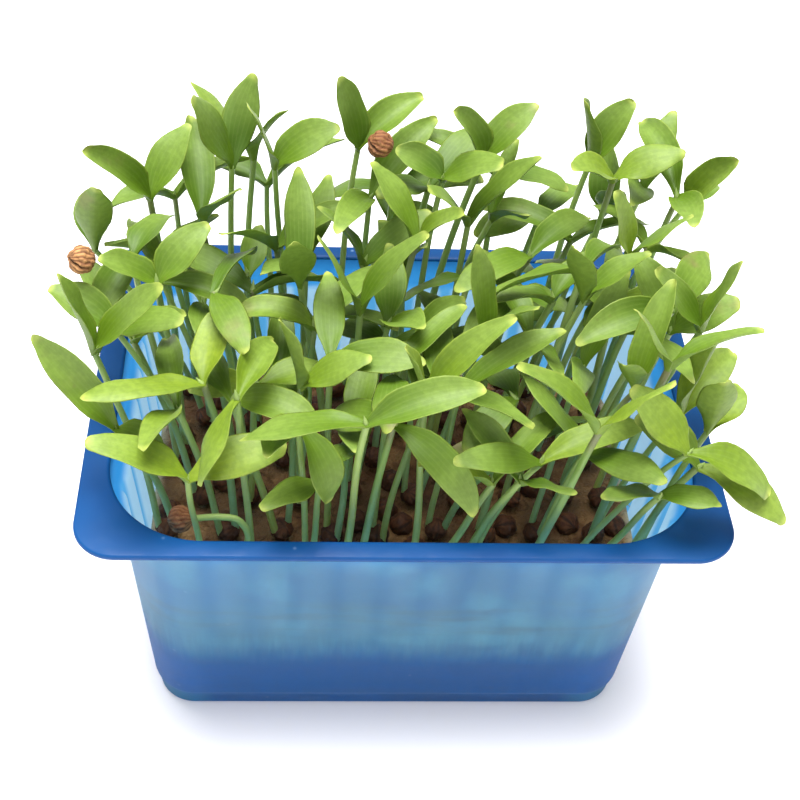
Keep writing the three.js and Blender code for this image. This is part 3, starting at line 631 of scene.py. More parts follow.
def stored(tree, name, kind="FLOAT"):
    """Reads a named attribute of the mesh inside a geometry tree."""
    return put(tree, "GeometryNodeInputNamedAttribute", {"Name": name}, data_type=kind).outputs[0]


def store(shape, name, value):
    """Keeps a number for each point of a shape under a name."""
    wires = {"Geometry": shape, "Name": name, "Value": value}
    return put(tree_of(shape), "GeometryNodeStoreNamedAttribute", wires).outputs[0]


def move(shape, offset):
    wires = {"Geometry": shape, "Offset": offset}
    return put(tree_of(shape), "GeometryNodeSetPosition", wires).outputs[0]


def reshape(shape, position):
    wires = {"Geometry": shape, "Position": position}
    return put(tree_of(shape), "GeometryNodeSetPosition", wires).outputs[0]


def copy_to_points(tree, given, end, shape):
    """Ends a tree with a copy of the shape on each point, turned and sized by the point."""
    lie = put(tree, "FunctionNodeEulerToRotation", {0: stored(tree, "lie", "FLOAT_VECTOR")})
    many = put(tree, "GeometryNodeInstanceOnPoints", {
        "Points": given["Geometry"], "Instance": shape, "Rotation": lie.outputs[0],
        "Scale": stored(tree, "size")}).outputs[0]
    return close_tree(tree, end, many, given["Material"])


def add_attribute(mesh, name, values):
    """Stores a number or a vector for each point of a mesh."""
    if isinstance(values[0], (int, float)):
        made = mesh.attributes.new(name, "FLOAT", "POINT")
        made.data.foreach_set("value", values)
    else:
        made = mesh.attributes.new(name, "FLOAT_VECTOR", "POINT")
        made.data.foreach_set("vector", [c for value in values for c in value])


def metres(points):
    return [tuple(c * MM for c in point) for point in points]


def lines_mesh(name, lines, **attributes):
    """A mesh of open lines of points, with one attribute value for each point."""
    points = [point for line in lines for point in line]
    edges = []
    start = 0
    for line in lines:
        edges += [(start + i, start + i + 1) for i in range(len(line) - 1)]
        start += len(line)
    mesh = bpy.data.meshes.new(name)
    mesh.from_pydata(metres(points), edges, [])
    for label, values in attributes.items():
        add_attribute(mesh, label, values)
    return mesh


def rows_mesh(name, rows):
    """A skin through rings of points. Each end is closed by one middle point."""
    sides = len(rows[0])
    points = [point for row in rows for point in row]
    faces = []
    for r in range(len(rows) - 1):
        for i in range(sides):
            k = (i + 1) % sides
            low, high = r * sides, (r + 1) * sides
            faces.append((low + i, low + k, high + k, high + i))
    for start, row, flip in ((0, rows[0], True), ((len(rows) - 1) * sides, rows[-1], False)):
        middle = len(points)
        points.append(tuple(sum(p[c] for p in row) / sides for c in range(3)))
        for i in range(sides):
            a, b = start + i, start + (i + 1) % sides
            faces.append((b, a, middle) if flip else (a, b, middle))
    mesh = bpy.data.meshes.new(name)
    mesh.from_pydata(metres(points), [], faces)
    return mesh


def run_tree(name, mesh, tree, **sizes):
    """Runs a geometry tree over a mesh and keeps what it makes as a plain mesh object."""
    piece = bpy.data.objects.new(name, mesh)
    bpy.context.scene.collection.objects.link(piece)
    modifier = piece.modifiers.new(name, "NODES")
    modifier.node_group = tree
    for socket in tree.interface.items_tree:
        label = socket.name.lower().replace(" ", "_")
        if socket.in_out == "INPUT" and label in sizes:
            modifier[socket.identifier] = sizes[label]
    evaluated = piece.evaluated_get(bpy.context.evaluated_depsgraph_get())
    made = bpy.data.meshes.new_from_object(evaluated)
    piece.modifiers.clear()
    piece.data = made
    made.name = name
    return piece


def settle_piece(piece, slot, *nodes):
    """The finished piece rides on the root body and hides the parts that it stands for; the slot is
    not used.
    """
    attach(piece, "root")
    if nodes:
        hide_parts(*nodes)
    return piece


# ---------- shared surface effects ----------


def effect_tree(name, **settings):
    """A shader group that takes a vector and named numbers and gives a mask from 0 to 1."""
    takes = [(label.capitalize(), "Float", value) for label, value in settings.items()]
    takes = [("Vector", "Vector", None), *takes]
    return new_tree(name, "ShaderNodeTree", takes, ("Mask", "Float"))


def mottle_group():
    """Soft blotches."""
    tree, given, end = effect_tree("mottle", scale=200, low=0.4, high=0.6)
    noise = put(tree, "ShaderNodeTexNoise", {
        "Vector": given["Vector"], "Scale": given["Scale"], "Detail": 3})
    plug(end.inputs[0], remap(noise.outputs[0], given["Low"], given["High"]))
    return tree


def specks_group():
    """Small round specks scattered thinly."""
    tree, given, end = effect_tree("specks", scale=400, size=0.2, share=0.2)
    cells = put(tree, "ShaderNodeTexVoronoi", {
        "Vector": given["Vector"], "Scale": given["Scale"]}).outputs
    near = remap(cells["Distance"], given["Size"], 0)
    pick = put(tree, "ShaderNodeSeparateColor", {0: cells["Color"]}).outputs[0]
    plug(end.inputs[0], times(near, calc("LESS_THAN", pick, given["Share"])))
    return tree


def streaks_group():
    """Fine lines along Z, such as flow lines in moulded plastic."""
    tree, given, end = effect_tree("streaks", across=900, along=60)
    scale = join(given["Across"], given["Across"], given["Along"])
    at = calc_vector("MULTIPLY", given["Vector"], scale)
    noise = put(tree, "ShaderNodeTexNoise", {"Vector": at, "Scale": 1, "Detail": 2})
    plug(end.inputs[0], remap(noise.outputs[0], 0.35, 0.65))
    return tree


MOTTLE = mottle_group()
SPECKS = specks_group()
STREAKS = streaks_group()


def effect(group, **values):
    """Places a shared effect and returns its mask."""
    wires = {label.capitalize(): value for label, value in values.items()}
    return put(tree_of(*values.values()), "ShaderNodeGroup", wires, node_tree=group).outputs[0]


def mottle(vector, scale, low=0.3, high=0.7):
    return effect(MOTTLE, vector=vector, scale=scale, low=low, high=high)


def specks(vector, scale, size, share):
    return effect(SPECKS, vector=vector, scale=scale, size=size, share=share)


def streaks(vector, across, along):
    return effect(STREAKS, vector=vector, across=across, along=along)


# ---------- finishes ----------


def linear(red, green, blue):
    """A screen colour from 0 to 255 as the linear colour that the shaders use."""
    def one(value):
        value /= 255
        return value / 12.92 if value < 0.04045 else ((value + 0.055) / 1.055) ** 2.4
    return (one(red), one(green), one(blue), 1)


def new_finish(name):
    """An empty material, its shader and its object coordinates."""
    finish = bpy.data.materials.new(name)
    finish.use_nodes = True
    shader = finish.node_tree.nodes["Principled BSDF"]
    place = put(finish.node_tree, "ShaderNodeTexCoord").outputs["Object"]
    return finish, shader, place


def blend(mask, first, second):
    """The first colour where the mask is 0 and the second where it is 1."""
    wires = {0: mask, 6: first, 7: second}
    tree = tree_of(mask, first, second)
    return put(tree, "ShaderNodeMix", wires, data_type="RGBA").outputs[2]


def tint(colour, mask, strength, screen_colour):
    """The colour, moved towards a screen colour by a strength where the mask is 1."""
    return blend(times(mask, strength), colour, linear(*screen_colour))


def ramp(value, stops):
    """A colour that runs through (place from 0 to 1, screen colour) stops."""
    node = put(tree_of(value), "ShaderNodeValToRGB", {0: value})
    marks = node.color_ramp.elements
    while len(marks) < len(stops):
        marks.new(0.5)
    for mark, (place, colour) in zip(marks, stops):
        mark.position = place
        mark.color = linear(*colour)
    return node.outputs[0]


def bump(shader, height, depth, strength=1.0):
    """Raises the surface by a height from 0 to 1, depth metres at most."""
    wires = {"Height": height, "Distance": depth, "Strength": strength}
    plug(shader.inputs["Normal"], put(shader.id_data, "ShaderNodeBump", wires).outputs[0])


def wire(shader, **values):
    """Sets the shader's sockets, named in lower case with _ for a space."""
    for label, value in values.items():
        plug(next(s for s in shader.inputs if s.name.lower().replace(" ", "_") == label), value)


def let_light_through(shader, colour, share):
    """Mixes in light that passes through a thin wall or leaf."""
    tree = shader.id_data
    through = put(tree, "ShaderNodeBsdfTranslucent", {0: colour}).outputs[0]
    mixed = put(tree, "ShaderNodeMixShader", {0: share, 1: shader.outputs[0], 2: through})
    plug(tree.nodes["Material Output"].inputs[0], mixed.outputs[0])


def surface_attribute(shader, name):
    return put(shader.id_data, "ShaderNodeAttribute", attribute_name=name).outputs["Fac"]


def tray_outside():
    """Hazy blue plastic, with what lies behind it painted in by height: greyish above, where light
    comes through, teal and a little brown where the pad shows through, deep blue below it.
    """
    finish, shader, place = new_finish("tray_wall_outside")
    height = split(place)[2]
    ragged = streaks(place, 900, 22)
    cloud = mottle(place, 46)
    lift = calc("MULTIPLY_ADD", ragged, 0.6 * MM, height)
    lift = calc("MULTIPLY_ADD", cloud, 3.2 * MM, lift)
    share = calc("DIVIDE", lift, TRAY_HEIGHT * MM)
    # Painted by height: the light and the pad that show through the wall.
    zones = ramp(share, [
        (0.0, (4, 112, 198)),
        (0.11, (4, 98, 172)),
        (0.31, (2, 90, 160)),
        (0.37, (10, 98, 158)),
        (0.43, (36, 112, 156)),
        (0.49, (60, 124, 154)),
        (0.56, (66, 128, 153)),
        (0.65, (60, 118, 150)),
        (0.71, (50, 106, 150)),
        (0.95, (38, 98, 154)),
    ])
    level = calc_vector("MULTIPLY", place, (36.0, 36.0, 260.0))
    scuffs = mottle(level, 1.4, 0.42, 0.68)
    zones = tint(zones, scuffs, 0.45, (40, 88, 142))
    haze = mottle(place, 75, 0.48, 0.66)
    above = remap(height, 19 * MM, 24 * MM)
    zones = tint(zones, times(haze, above), 0.6, (84, 154, 180))
    # Painted shade: mottled shadow of the pad and stems seen through the wall.
    beside_pad = times(remap(height, 23 * MM, 27 * MM), remap(height, 37 * MM, 32 * MM))
    seen_through_shade = mottle(level, 1.7, 0.45, 0.62)
    colour = tint(zones, times(seen_through_shade, beside_pad), 0.8, (70, 96, 112))
    drips = streaks(place, 1300, 30)
    by_line = times(remap(height, 16 * MM, 20 * MM), remap(height, 28 * MM, 22 * MM))
    drips = times(calc("POWER", drips, 2), by_line)
    colour = tint(colour, drips, 0.35, (96, 168, 190))
    # Painted glow of light through the corners of the foot.
    foot = remap(height, 4.3 * MM, 3.8 * MM)
    painted_glow = times(foot, surface_attribute(shader, "in_corner"))
    colour = tint(colour, painted_glow, 0.8, (56, 150, 178))
    # Painted highlight: a pale line along the step above the foot.
    step = times(remap(height, 3.9 * MM, 4.2 * MM), remap(height, 4.9 * MM, 4.5 * MM))
    colour = tint(colour, step, 0.5, (120, 170, 214))
    dust = specks(place, 330, 0.16, 0.05)
    colour = tint(colour, dust, 0.5, (170, 200, 225))
    mist = mottle(place, 1500)
    colour = tint(colour, mist, 0.22, (30, 84, 138))
    grime = specks(place, 560, 0.2, 0.08)
    colour = tint(colour, grime, 0.3, (36, 70, 110))
    # Painted glints: small white highlights just under the rim.
    painted_glints = specks(place, 900, 0.3, 0.3)
    painted_glints = times(painted_glints, remap(height, 50.8 * MM, 51.6 * MM))
    colour = blend(painted_glints, colour, linear(236, 246, 255))
    wire(shader, base_color=colour, roughness=0.4, coat_weight=0.3, coat_roughness=0.25)
    grain = mottle(place, 900, 0.2, 0.8)
    bump(shader, grain, 0.03 * MM, 0.5)
    low = remap(share, 0.49, 0.33)
    passing = blend(low, linear(184, 222, 246), linear(100, 176, 232))
    let_light_through(shader, passing, 0.6)
    return finish


def tray_inside():
    """The same plastic seen from inside and lit through it. Its pale ribs and deeper grooves are
    painted light: the wall is painted pale as if lit from behind, less so in the grooves, under the
    top band.
    """
    finish, shader, place = new_finish("tray_wall_inside")
    height = split(place)[2]
    crest = surface_attribute(shader, "crest")
    cloud = mottle(place, 120)
    # Painted light: pale as if lit through from behind, deeper in the grooves.
    pale = blend(cloud, linear(196, 234, 250), linear(216, 240, 252))
    raised = remap(crest, 0.15, 0.7)
    ribs = blend(raised, linear(70, 160, 220), pale)
    band = remap(height, 46.6 * MM, 48.2 * MM)
    colour = blend(band, ribs, linear(36, 128, 200))
    by_pad = remap(height, 31 * MM, 28 * MM)
    colour = tint(colour, by_pad, 0.6, (150, 170, 170))
    lit = blend(raised, linear(138, 212, 247), linear(240, 252, 255))
    lit = blend(band, lit, linear(90, 186, 240))
    wire(shader, base_color=colour, roughness=0.3, coat_weight=0.2, coat_roughness=0.15)
    grain = mottle(place, 500, 0.2, 0.8)
    bump(shader, grain, 0.04 * MM, 0.5)
    let_light_through(shader, lit, 0.76)
    return finish


def tray_rim():
    """Full blue where the sheet is thick and flat, with fine dust and handling marks."""
    finish, shader, place = new_finish("tray_rim")
    cloud = mottle(place, 60)
    colour = blend(cloud, linear(2, 68, 130), linear(4, 76, 138))
    dust = specks(place, 420, 0.2, 0.05)
    colour = tint(colour, dust, 0.5, (150, 185, 225))
    marks = streaks(place, 260, 260)
    rough = remap(marks, 0.0, 1.0, 0.44, 0.56)
    wire(shader, base_color=colour, roughness=rough, specular_ior_level=0.25)
    grain = mottle(place, 1200, 0.2, 0.8)
    bump(shader, grain, 0.02 * MM, 0.5)
    let_light_through(shader, linear(4, 96, 170), 0.15)
    return finish


FELT_BORDER = 3.2  # the pale strip along the tray's wall


def felt():
    """Tan fibre felt with reddish and damp dark patches."""
    finish, shader, place = new_finish("felted_fibre")
    cloud = mottle(place, 140, 0.35, 0.65)
    colour = blend(cloud, linear(88, 55, 28), linear(166, 126, 80))
    threads = mottle(place, 1500, 0.35, 0.65)
    colour = tint(colour, threads, 0.4, (112, 78, 44))
    damp = mottle(place, 70, 0.44, 0.58)
    colour = tint(colour, damp, 0.7, (56, 37, 20))
    half_x, half_y, _ = cavity_at(PAD_TOP)
    x, y, _ = split(place)
    past_x = calc("SUBTRACT", calc("ABSOLUTE", x), (half_x - FELT_BORDER) * MM)
    past_y = calc("SUBTRACT", calc("ABSOLUTE", y), (half_y - FELT_BORDER) * MM)
    border = remap(calc("MAXIMUM", past_x, past_y), 0, 2 * MM)
    colour = tint(colour, border, 0.75, (206, 188, 152))
    wire(shader, base_color=colour, roughness=0.9)
    bump(shader, threads, 0.2 * MM)
    return finish


def husk_skin(name, dark, light, old):
    """Dry ridged husk: lighter on the ridges, darker in the grooves, with painted shade in its
    mouth.
    """
    finish, shader, place = new_finish(name)
    ridge = surface_attribute(shader, "ridge")
    tone = surface_attribute(shader, "husk_tone")
    cloud = mottle(place, 420)
    skin = blend(ridge, dark, light)
    skin = blend(times(cloud, 0.5), skin, dark)
    stains = mottle(place, 900, 0.5, 0.62)
    skin = tint(skin, stains, 0.45, (58, 30, 20))
    skin = blend(times(tone, 0.6), skin, old)
    # Painted shade inside the gaping mouth.
    mouth = surface_attribute(shader, "mouth")
    skin = tint(skin, mouth, 0.85, (44, 22, 14))
    wire(shader, base_color=skin, roughness=0.7, specular_ior_level=0.3)
    grain = mottle(place, 2600, 0.2, 0.8)
    bump(shader, grain, 0.08 * MM)
    return finish


def leaf_skin():
    """Young leaf: deeper green at its base and paler outwards, partly its own colour and partly
    painted light, with a yellowish tip and faint veins.
    """
    finish, shader, place = new_finish("seed_leaf")
    along = surface_attribute(shader, "along_leaf")
    across = surface_attribute(shader, "across_leaf")
    tone = surface_attribute(shader, "leaf_tone")
    from_middle = calc("ABSOLUTE", across)
    green = ramp(tone, [
        (0.0, (70, 104, 4)),
        (0.5, (102, 134, 14)),
        (1.0, (160, 180, 42)),
    ])
    cloud = mottle(place, 160)
    green = tint(green, cloud, 0.3, (84, 118, 20))
    # Paler outwards: partly the leaf's own colour, partly painted light.
    green = tint(green, remap(along, 0.25, 0.8), 0.46, (154, 180, 84))
    veins = calc("COSINE", times(across, 24))
    green = tint(green, remap(veins, 0.2, 1.0), 0.09, (162, 188, 96))
    green = tint(green, remap(from_middle, 0.86, 1.0), 0.3, (176, 190, 78))
    # Undersides paler and duller, partly their own colour and partly painted light that lifts their
    # shade.
    under = remap(surface_attribute(shader, "through_leaf"), 0.3, -0.3)
    green = tint(green, under, 0.6, (134, 162, 62))
    green = tint(green, remap(along, 0.9, 0.99), 0.6, (208, 218, 106))
    grain = mottle(place, 1100, 0.35, 0.65)
    green = tint(green, grain, 0.26, (76, 104, 22))
    spots = specks(place, 520, 0.22, 0.03)
    green = tint(green, spots, 0.35, (112, 100, 56))
    sore = mottle(place, 240, 0.5, 0.7)
    sore_leaf = remap(surface_attribute(shader, "blemish"), 0.8, 1.0)
    sore = times(sore, sore_leaf, remap(along, 0.4, 0.8))
    green = tint(green, sore, 0.7, (142, 118, 84))
    wire(shader, base_color=green, roughness=0.55, coat_weight=0.04, coat_roughness=0.35)
    cells = mottle(place, 1400, 0.2, 0.8)
    relief = calc("MULTIPLY_ADD", veins, 0.12, cells)
    bump(shader, relief, 0.04 * MM, 0.5)
    let_light_through(shader, blend(0.5, green, linear(104, 150, 0)), 0.3)
    return finish


def stem_skin():
    """Stem: blue-green and paler at the foot, which is painted light standing in for the blue
    tray's bounce in the shade there, yellow-green above, sometimes purplish under the leaves.
    """
    finish, shader, place = new_finish("stem")
    up = surface_attribute(shader, "up_stem")
    tone = surface_attribute(shader, "stem_tone")
    # Painted light: the lower stems are paler and bluer, for light bounced from the blue tray into
    # their shade.
    low = blend(tone, linear(170, 200, 148), linear(196, 200, 108))
    high = blend(tone, linear(144, 178, 90), linear(176, 198, 112))
    colour = blend(remap(up, 0.15, 0.8), low, high)
    blush = times(remap(up, 0.84, 0.97), remap(tone, 0.45, 0.0))
    colour = tint(colour, blush, 0.7, (132, 112, 92))
    cloud = mottle(place, 300)
    colour = tint(colour, cloud, 0.25, (124, 158, 100))
    wire(shader, base_color=colour, roughness=0.4, coat_weight=0.1, coat_roughness=0.25)
    threads = streaks(place, 2600, 60)
    bump(shader, threads, 0.05 * MM, 0.6)
    let_light_through(shader, colour, 0.36)
    return finish


# ---------- tray ----------

RIM, OUTSIDE, INSIDE = 0, 1, 2
CORNER_POINTS = 16  # outline points across each corner rib
TRACE_STEPS = 24


def outline_stations():
    """Outline points at the opening: place, outward direction, turn across a rib, in a corner."""
    half_x, half_y, corner = cavity_at(TRAY_HEIGHT)
    stations = []
    for side in range(4):
        angle = math.radians(90 * side)
        out = (math.cos(angle), math.sin(angle))
        on = (-out[1], out[0])
        reach = half_y if side % 2 else half_x
        half = (half_x if side % 2 else half_y) - corner
        steps = (LONG_SIDE_RIBS if side % 2 else SHORT_SIDE_RIBS) * RIB_POINTS
        for i in range(steps):
            place = half * (2 * i / steps - 1)
            at = (out[0] * reach + on[0] * place, out[1] * reach + on[1] * place)
            stations.append((at, out, i / RIB_POINTS, 0.0))
        steps = CORNER_RIBS * CORNER_POINTS
        middle = [out[c] * (reach - corner) + on[c] * half for c in range(2)]
        for i in range(steps):
            turn = angle + math.radians(90 * i / steps)
            out_here = (math.cos(turn), math.sin(turn))
            at = (middle[0] + corner * out_here[0], middle[1] + corner * out_here[1])
            stations.append((at, out_here, i / CORNER_POINTS, math.sin(math.pi * i / steps)))
    return stations


def traced(stations, outline, z):
    """The ring where the stations' directions meet an outline."""
    ring = []
    for (x, y), (out_x, out_y), _, _ in stations:
        for _ in range(TRACE_STEPS):
            gap = edge_distance(x, y, outline)
            x -= out_x * gap
            y -= out_y * gap
        ring.append((x, y, z))
    return ring


def tray_rings():
    """(height, outline, finish, share of the rib relief) up the outside, over and down inside."""
    foot = WALL - FOOT_INSET
    rim = (RIM_WIDTH / 2, RIM_DEPTH / 2, RIM_CORNER)
    under = TRAY_HEIGHT - RIM_THICKNESS
    rings = [(0, grown(cavity_at(0), foot - 1.2), OUTSIDE, 0)]
    for z, inset in ((0, 0.6), (0.12, 0.2), (0.4, 0.03), (0.8, 0)):
        rings.append((z, grown(cavity_at(z), foot - inset), OUTSIDE, 0))
    for z, step in ((3.6, 0), (3.9, 0.06), (4.1, 0.32), (4.35, 0.46), (4.7, FOOT_INSET)):
        rings.append((z, grown(cavity_at(z), foot + step), OUTSIDE, 0))
    for z in (8, 14, 20, 26, 32, 38, 43, RIB_TOP, SMOOTH_BAND, 50.8, under - 0.5):
        rings.append((z, grown(cavity_at(z), WALL), OUTSIDE, 0))
    for z, flare in ((under - 0.15, 0.12), (under, 0.5)):
        rings.append((z, grown(cavity_at(z), WALL + flare), OUTSIDE, 0))
    for z, inset in ((under, 0.4), (under + 0.1, 0.1), (under + 0.35, 0), (under + 0.75, 0)):
        rings.append((z, grown(rim, -inset), RIM, 0))
    for z, inset in ((TRAY_HEIGHT - 0.1, 0.1), (TRAY_HEIGHT, 0.4)):
        rings.append((z, grown(rim, -inset), RIM, 0))
    top = cavity_at(TRAY_HEIGHT)
    for drop, flare in ((0, 0.6), (0.06, 0.3), (0.22, 0.1), (0.5, 0)):
        rings.append((TRAY_HEIGHT - drop, grown(top, flare), RIM, 0))
    for z in (51, SMOOTH_BAND):
        rings.append((z, cavity_at(z), INSIDE, 0))
    for z, share in ((48.1, 0.1), (47.7, 0.35), (47.25, 0.75), (RIB_TOP, 0.95)):
        rings.append((z, cavity_at(z), INSIDE, share))
    for z in (45.5, 42, 38, 34, 30, 26, 21, LEDGE_HEIGHT):
        rings.append((z, cavity_at(z), INSIDE, 1))
    for z in (LEDGE_HEIGHT - 0.1, FLOOR):
        rings.append((z, grown(cavity_at(z), -LOWER_WALL_EXTRA), INSIDE, LEDGE_RELIEF / RIB_RELIEF))
    return rings


def rib_tree():
    """Presses the ribs into the tray's inner wall and crinkles it a little at the corners."""
    sizes = [("Rib relief", "Float", 0.0008), ("Crinkle", "Float", 0.0003)]
    tree, given, end = geometry_tree("moulded_ribs", sizes)
    turn = times(stored(tree, "rib_turn"), math.pi)
    groove = calc("POWER", calc("ABSOLUTE", calc("COSINE", turn)), 5)
    crest = calc("SUBTRACT", 1, groove)
    ribbing = stored(tree, "ribbing")
    raised = times(crest, ribbing)
    noise = put(tree, "ShaderNodeTexNoise", {"Scale": 160, "Detail": 1}).outputs[0]
    fold = times(calc("SUBTRACT", noise, 0.5), given["Crinkle"])
    fold = times(fold, stored(tree, "in_corner"), ribbing)
    inward = stretch(stored(tree, "outward", "FLOAT_VECTOR"), -1)
    depth = calc("ADD", times(raised, given["Rib relief"]), fold)
    shape = store(given["Geometry"], "crest", raised)
    return close_tree(tree, end, move(shape, stretch(inward, depth)))


def make_tray():
    """The tray in one skin, with its finishes laid out ring by ring."""
    stations = outline_stations()
    rings = tray_rings()
    mesh = rows_mesh("tray_shell", [traced(stations, outline, z) for z, outline, _, _ in rings])
    sides = len(stations)
    middles = len(mesh.vertices) - sides * len(rings)
    for label, values, at_middle in (
        ("outward", [(*out, 0.0) for _, out, _, _ in stations] * len(rings), (0, 0, 0)),
        ("rib_turn", [float(turn) for _, _, turn, _ in stations] * len(rings), 0.0),
        ("in_corner", [corner for _, _, _, corner in stations] * len(rings), 0.0),
        ("ribbing", [float(ring[3]) for ring in rings for _ in stations], 0.0),
    ):
        add_attribute(mesh, label, values + [at_middle] * middles)
    piece = run_tree("tray_shell", mesh, rib_tree(), rib_relief=RIB_RELIEF * MM, crinkle=0.7 * MM)
    for finish in (tray_rim(), tray_outside(), tray_inside()):
        piece.data.materials.append(finish)
    finishes = [finish for _, _, finish, _ in rings[1:] for _ in stations]
    finishes += [OUTSIDE] * sides + [INSIDE] * sides
    piece.data.polygons.foreach_set("material_index", finishes)
    return settle_piece(piece, "tray_plastic", "tray")


# ---------- fibre pad ----------

FIBRES_PER_SQUARE_METRE = 360000
PAD_TOP_RINGS = 24


def felt_tree():
    """Roughens the pad's top and lays loose fibres on it."""
    sizes = [("Lumps", "Float", 0.0009), ("Fibre length", "Float", 0.003),
             ("Fibre radius", "Float", 0.00006), ("Density", "Float", FIBRES_PER_SQUARE_METRE)]
    tree, given, end = geometry_tree("felted_pad", sizes)
    fine = put(tree, "GeometryNodeSubdivideMesh", {0: given["Geometry"], 1: 1}).outputs[0]
    coarse = put(tree, "ShaderNodeTexNoise", {"Scale": 260, "Detail": 3}).outputs[0]
    rise = times(calc("SUBTRACT", coarse, 0.5), given["Lumps"], stored(tree, "topside"))
    lumpy = move(fine, join(z=rise))
    strand = put(tree, "GeometryNodeCurveQuadraticBezier", {
        0: 4, 1: (-0.5, 0, 0), 2: (0.05, 0.35, 0.16), 3: (0.5, -0.1, 0.02)}).outputs[0]
    long = put(tree, "GeometryNodeTransform", {
        "Geometry": strand, "Scale": join(*[given["Fibre length"]] * 3)}).outputs[0]
    section = put(tree, "GeometryNodeCurvePrimitiveCircle", {
        "Resolution": 3, "Radius": given["Fibre radius"]}).outputs[0]
    thread = put(tree, "GeometryNodeCurveToMesh", {
        0: long, 1: section, "Fill Caps": True}).outputs[0]
    spots = put(tree, "GeometryNodeDistributePointsOnFaces", {
        "Mesh": lumpy, "Selection": stored(tree, "topside"), "Density": given["Density"],
        "Seed": 5})
    turn = put(tree, "FunctionNodeRandomValue", {
        0: (-0.4, -0.4, 0.0), 1: (0.4, 0.4, 6.28), "Seed": 8}, data_type="FLOAT_VECTOR").outputs[0]
    size = put(tree, "FunctionNodeRandomValue", {2: 0.5, 3: 1.3, "Seed": 9}).outputs[1]
    loose = put(tree, "GeometryNodeInstanceOnPoints", {
        "Points": spots.outputs[0], "Instance": thread, "Rotation": turn, "Scale": size}).outputs[0]
    both = put(tree, "GeometryNodeJoinGeometry")
    for shape in (lumpy, loose):
        plug(both.inputs[0], shape)
    return close_tree(tree, end, both.outputs[0], given["Material"])


def make_pad():
    """The pad's skin, with rings of points across its top for the lumps."""
    stations = outline_stations()[::4]
    bottom = LEDGE_HEIGHT + PAD_GAP
    rings = [
        (bottom, 0), (22, 0), (PAD_TOP - 0.9, 0), (PAD_TOP - 0.35, 0.15), (PAD_TOP - 0.1, 0.6),
    ]
    rows = [traced(stations, grown(pad_outline(z), -inset), z) for z, inset in rings]
    edge = rows[-1]
    for k in range(PAD_TOP_RINGS):
        share = 1 - (k + 1) / (PAD_TOP_RINGS + 0.5)
        rows.append([(x * share, y * share, PAD_TOP) for x, y, _ in edge])
    mesh = rows_mesh("fibre_pad", rows)
    topside = [0.0] * len(rings) + [1.0] * PAD_TOP_RINGS
    every = [value for value in topside for _ in stations]
    add_attribute(mesh, "topside", every + [0.0, 1.0])
    piece = run_tree("fibre_pad_felt", mesh, felt_tree(), material=felt())
    return settle_piece(piece, "fibre_and_husks", "fibre_pad")


# ---------- husks ----------

TUMBLE = (-1.1, 1.1)  # how a husk lies, in radians


def husk_tree():
    """A round husk on each point: wavering ridges, and a seam that gapes towards its tip."""
    sizes = [("Segments", "Int", 24), ("Rings", "Int", 12), ("Ridge depth", "Float", 0.07),
             ("Gape", "Float", 0.1), ("Dents", "Float", 0.16), ("Ridges", "Float", 10),
             ("Waver", "Float", 0.5)]
    tree, given, end = geometry_tree("ridged_husks", sizes)
    ball = put(tree, "GeometryNodeMeshUVSphere", {
        "Segments": given["Segments"], "Rings": given["Rings"], "Radius": 1}).outputs[0]
    at = put(tree, "GeometryNodeInputPosition").outputs[0]
    x, y, z = split(at)
    turn = calc("ARCTAN2", y, x)
    waver = calc("SINE", calc("MULTIPLY_ADD", z, 7, times(turn, 3)))
    around = calc("MULTIPLY_ADD", turn, given["Ridges"], times(waver, given["Waver"]))
    ridge = calc("ABSOLUTE", calc("SINE", times(around, 0.5)))
    girth = calc("SUBTRACT", 1, times(z, z))
    hollow = times(calc("SUBTRACT", 1, ridge), given["Ridge depth"], girth)
    seam = times(remap(calc("ABSOLUTE", y), 0.2, 0.0), remap(x, -0.1, 0.1))
    mouth = times(seam, remap(z, -0.5, 0.8))
    hollow = calc("MULTIPLY_ADD", mouth, given["Gape"], hollow)
    noise = put(tree, "ShaderNodeTexNoise", {"Vector": at, "Scale": 1.6, "Detail": 1}).outputs[0]
    dent = times(remap(noise, 0.55, 0.3), given["Dents"])
    radius = calc("SUBTRACT", 1, calc("ADD", hollow, dent))
    shape = store(store(ball, "ridge", ridge), "mouth", mouth)
    tip = times(remap(z, 0.93, 1.0), 0.1)
    bent = calc_vector("ADD", stretch(at, radius), join(z=tip))
    bent = calc_vector("MULTIPLY", bent, (1.0, 1.0, 0.94))
    return copy_to_points(tree, given, end, reshape(shape, bent))


SPROUTED_HUSK_RADIUS = HUSK_RADIUS * 0.94
RAISED_TONES = (0.1, 0.8, 1.0)  # how dark each raised husk is


def husks_mesh(name, centres, turns, radius, tones):
    """A point for each husk, with how it lies, its size and its tone."""
    points = [[centre] for centre in centres]
    sizes = [radius * MM] * len(centres)
    return lines_mesh(name, points, lie=turns, size=sizes, husk_tone=tones)


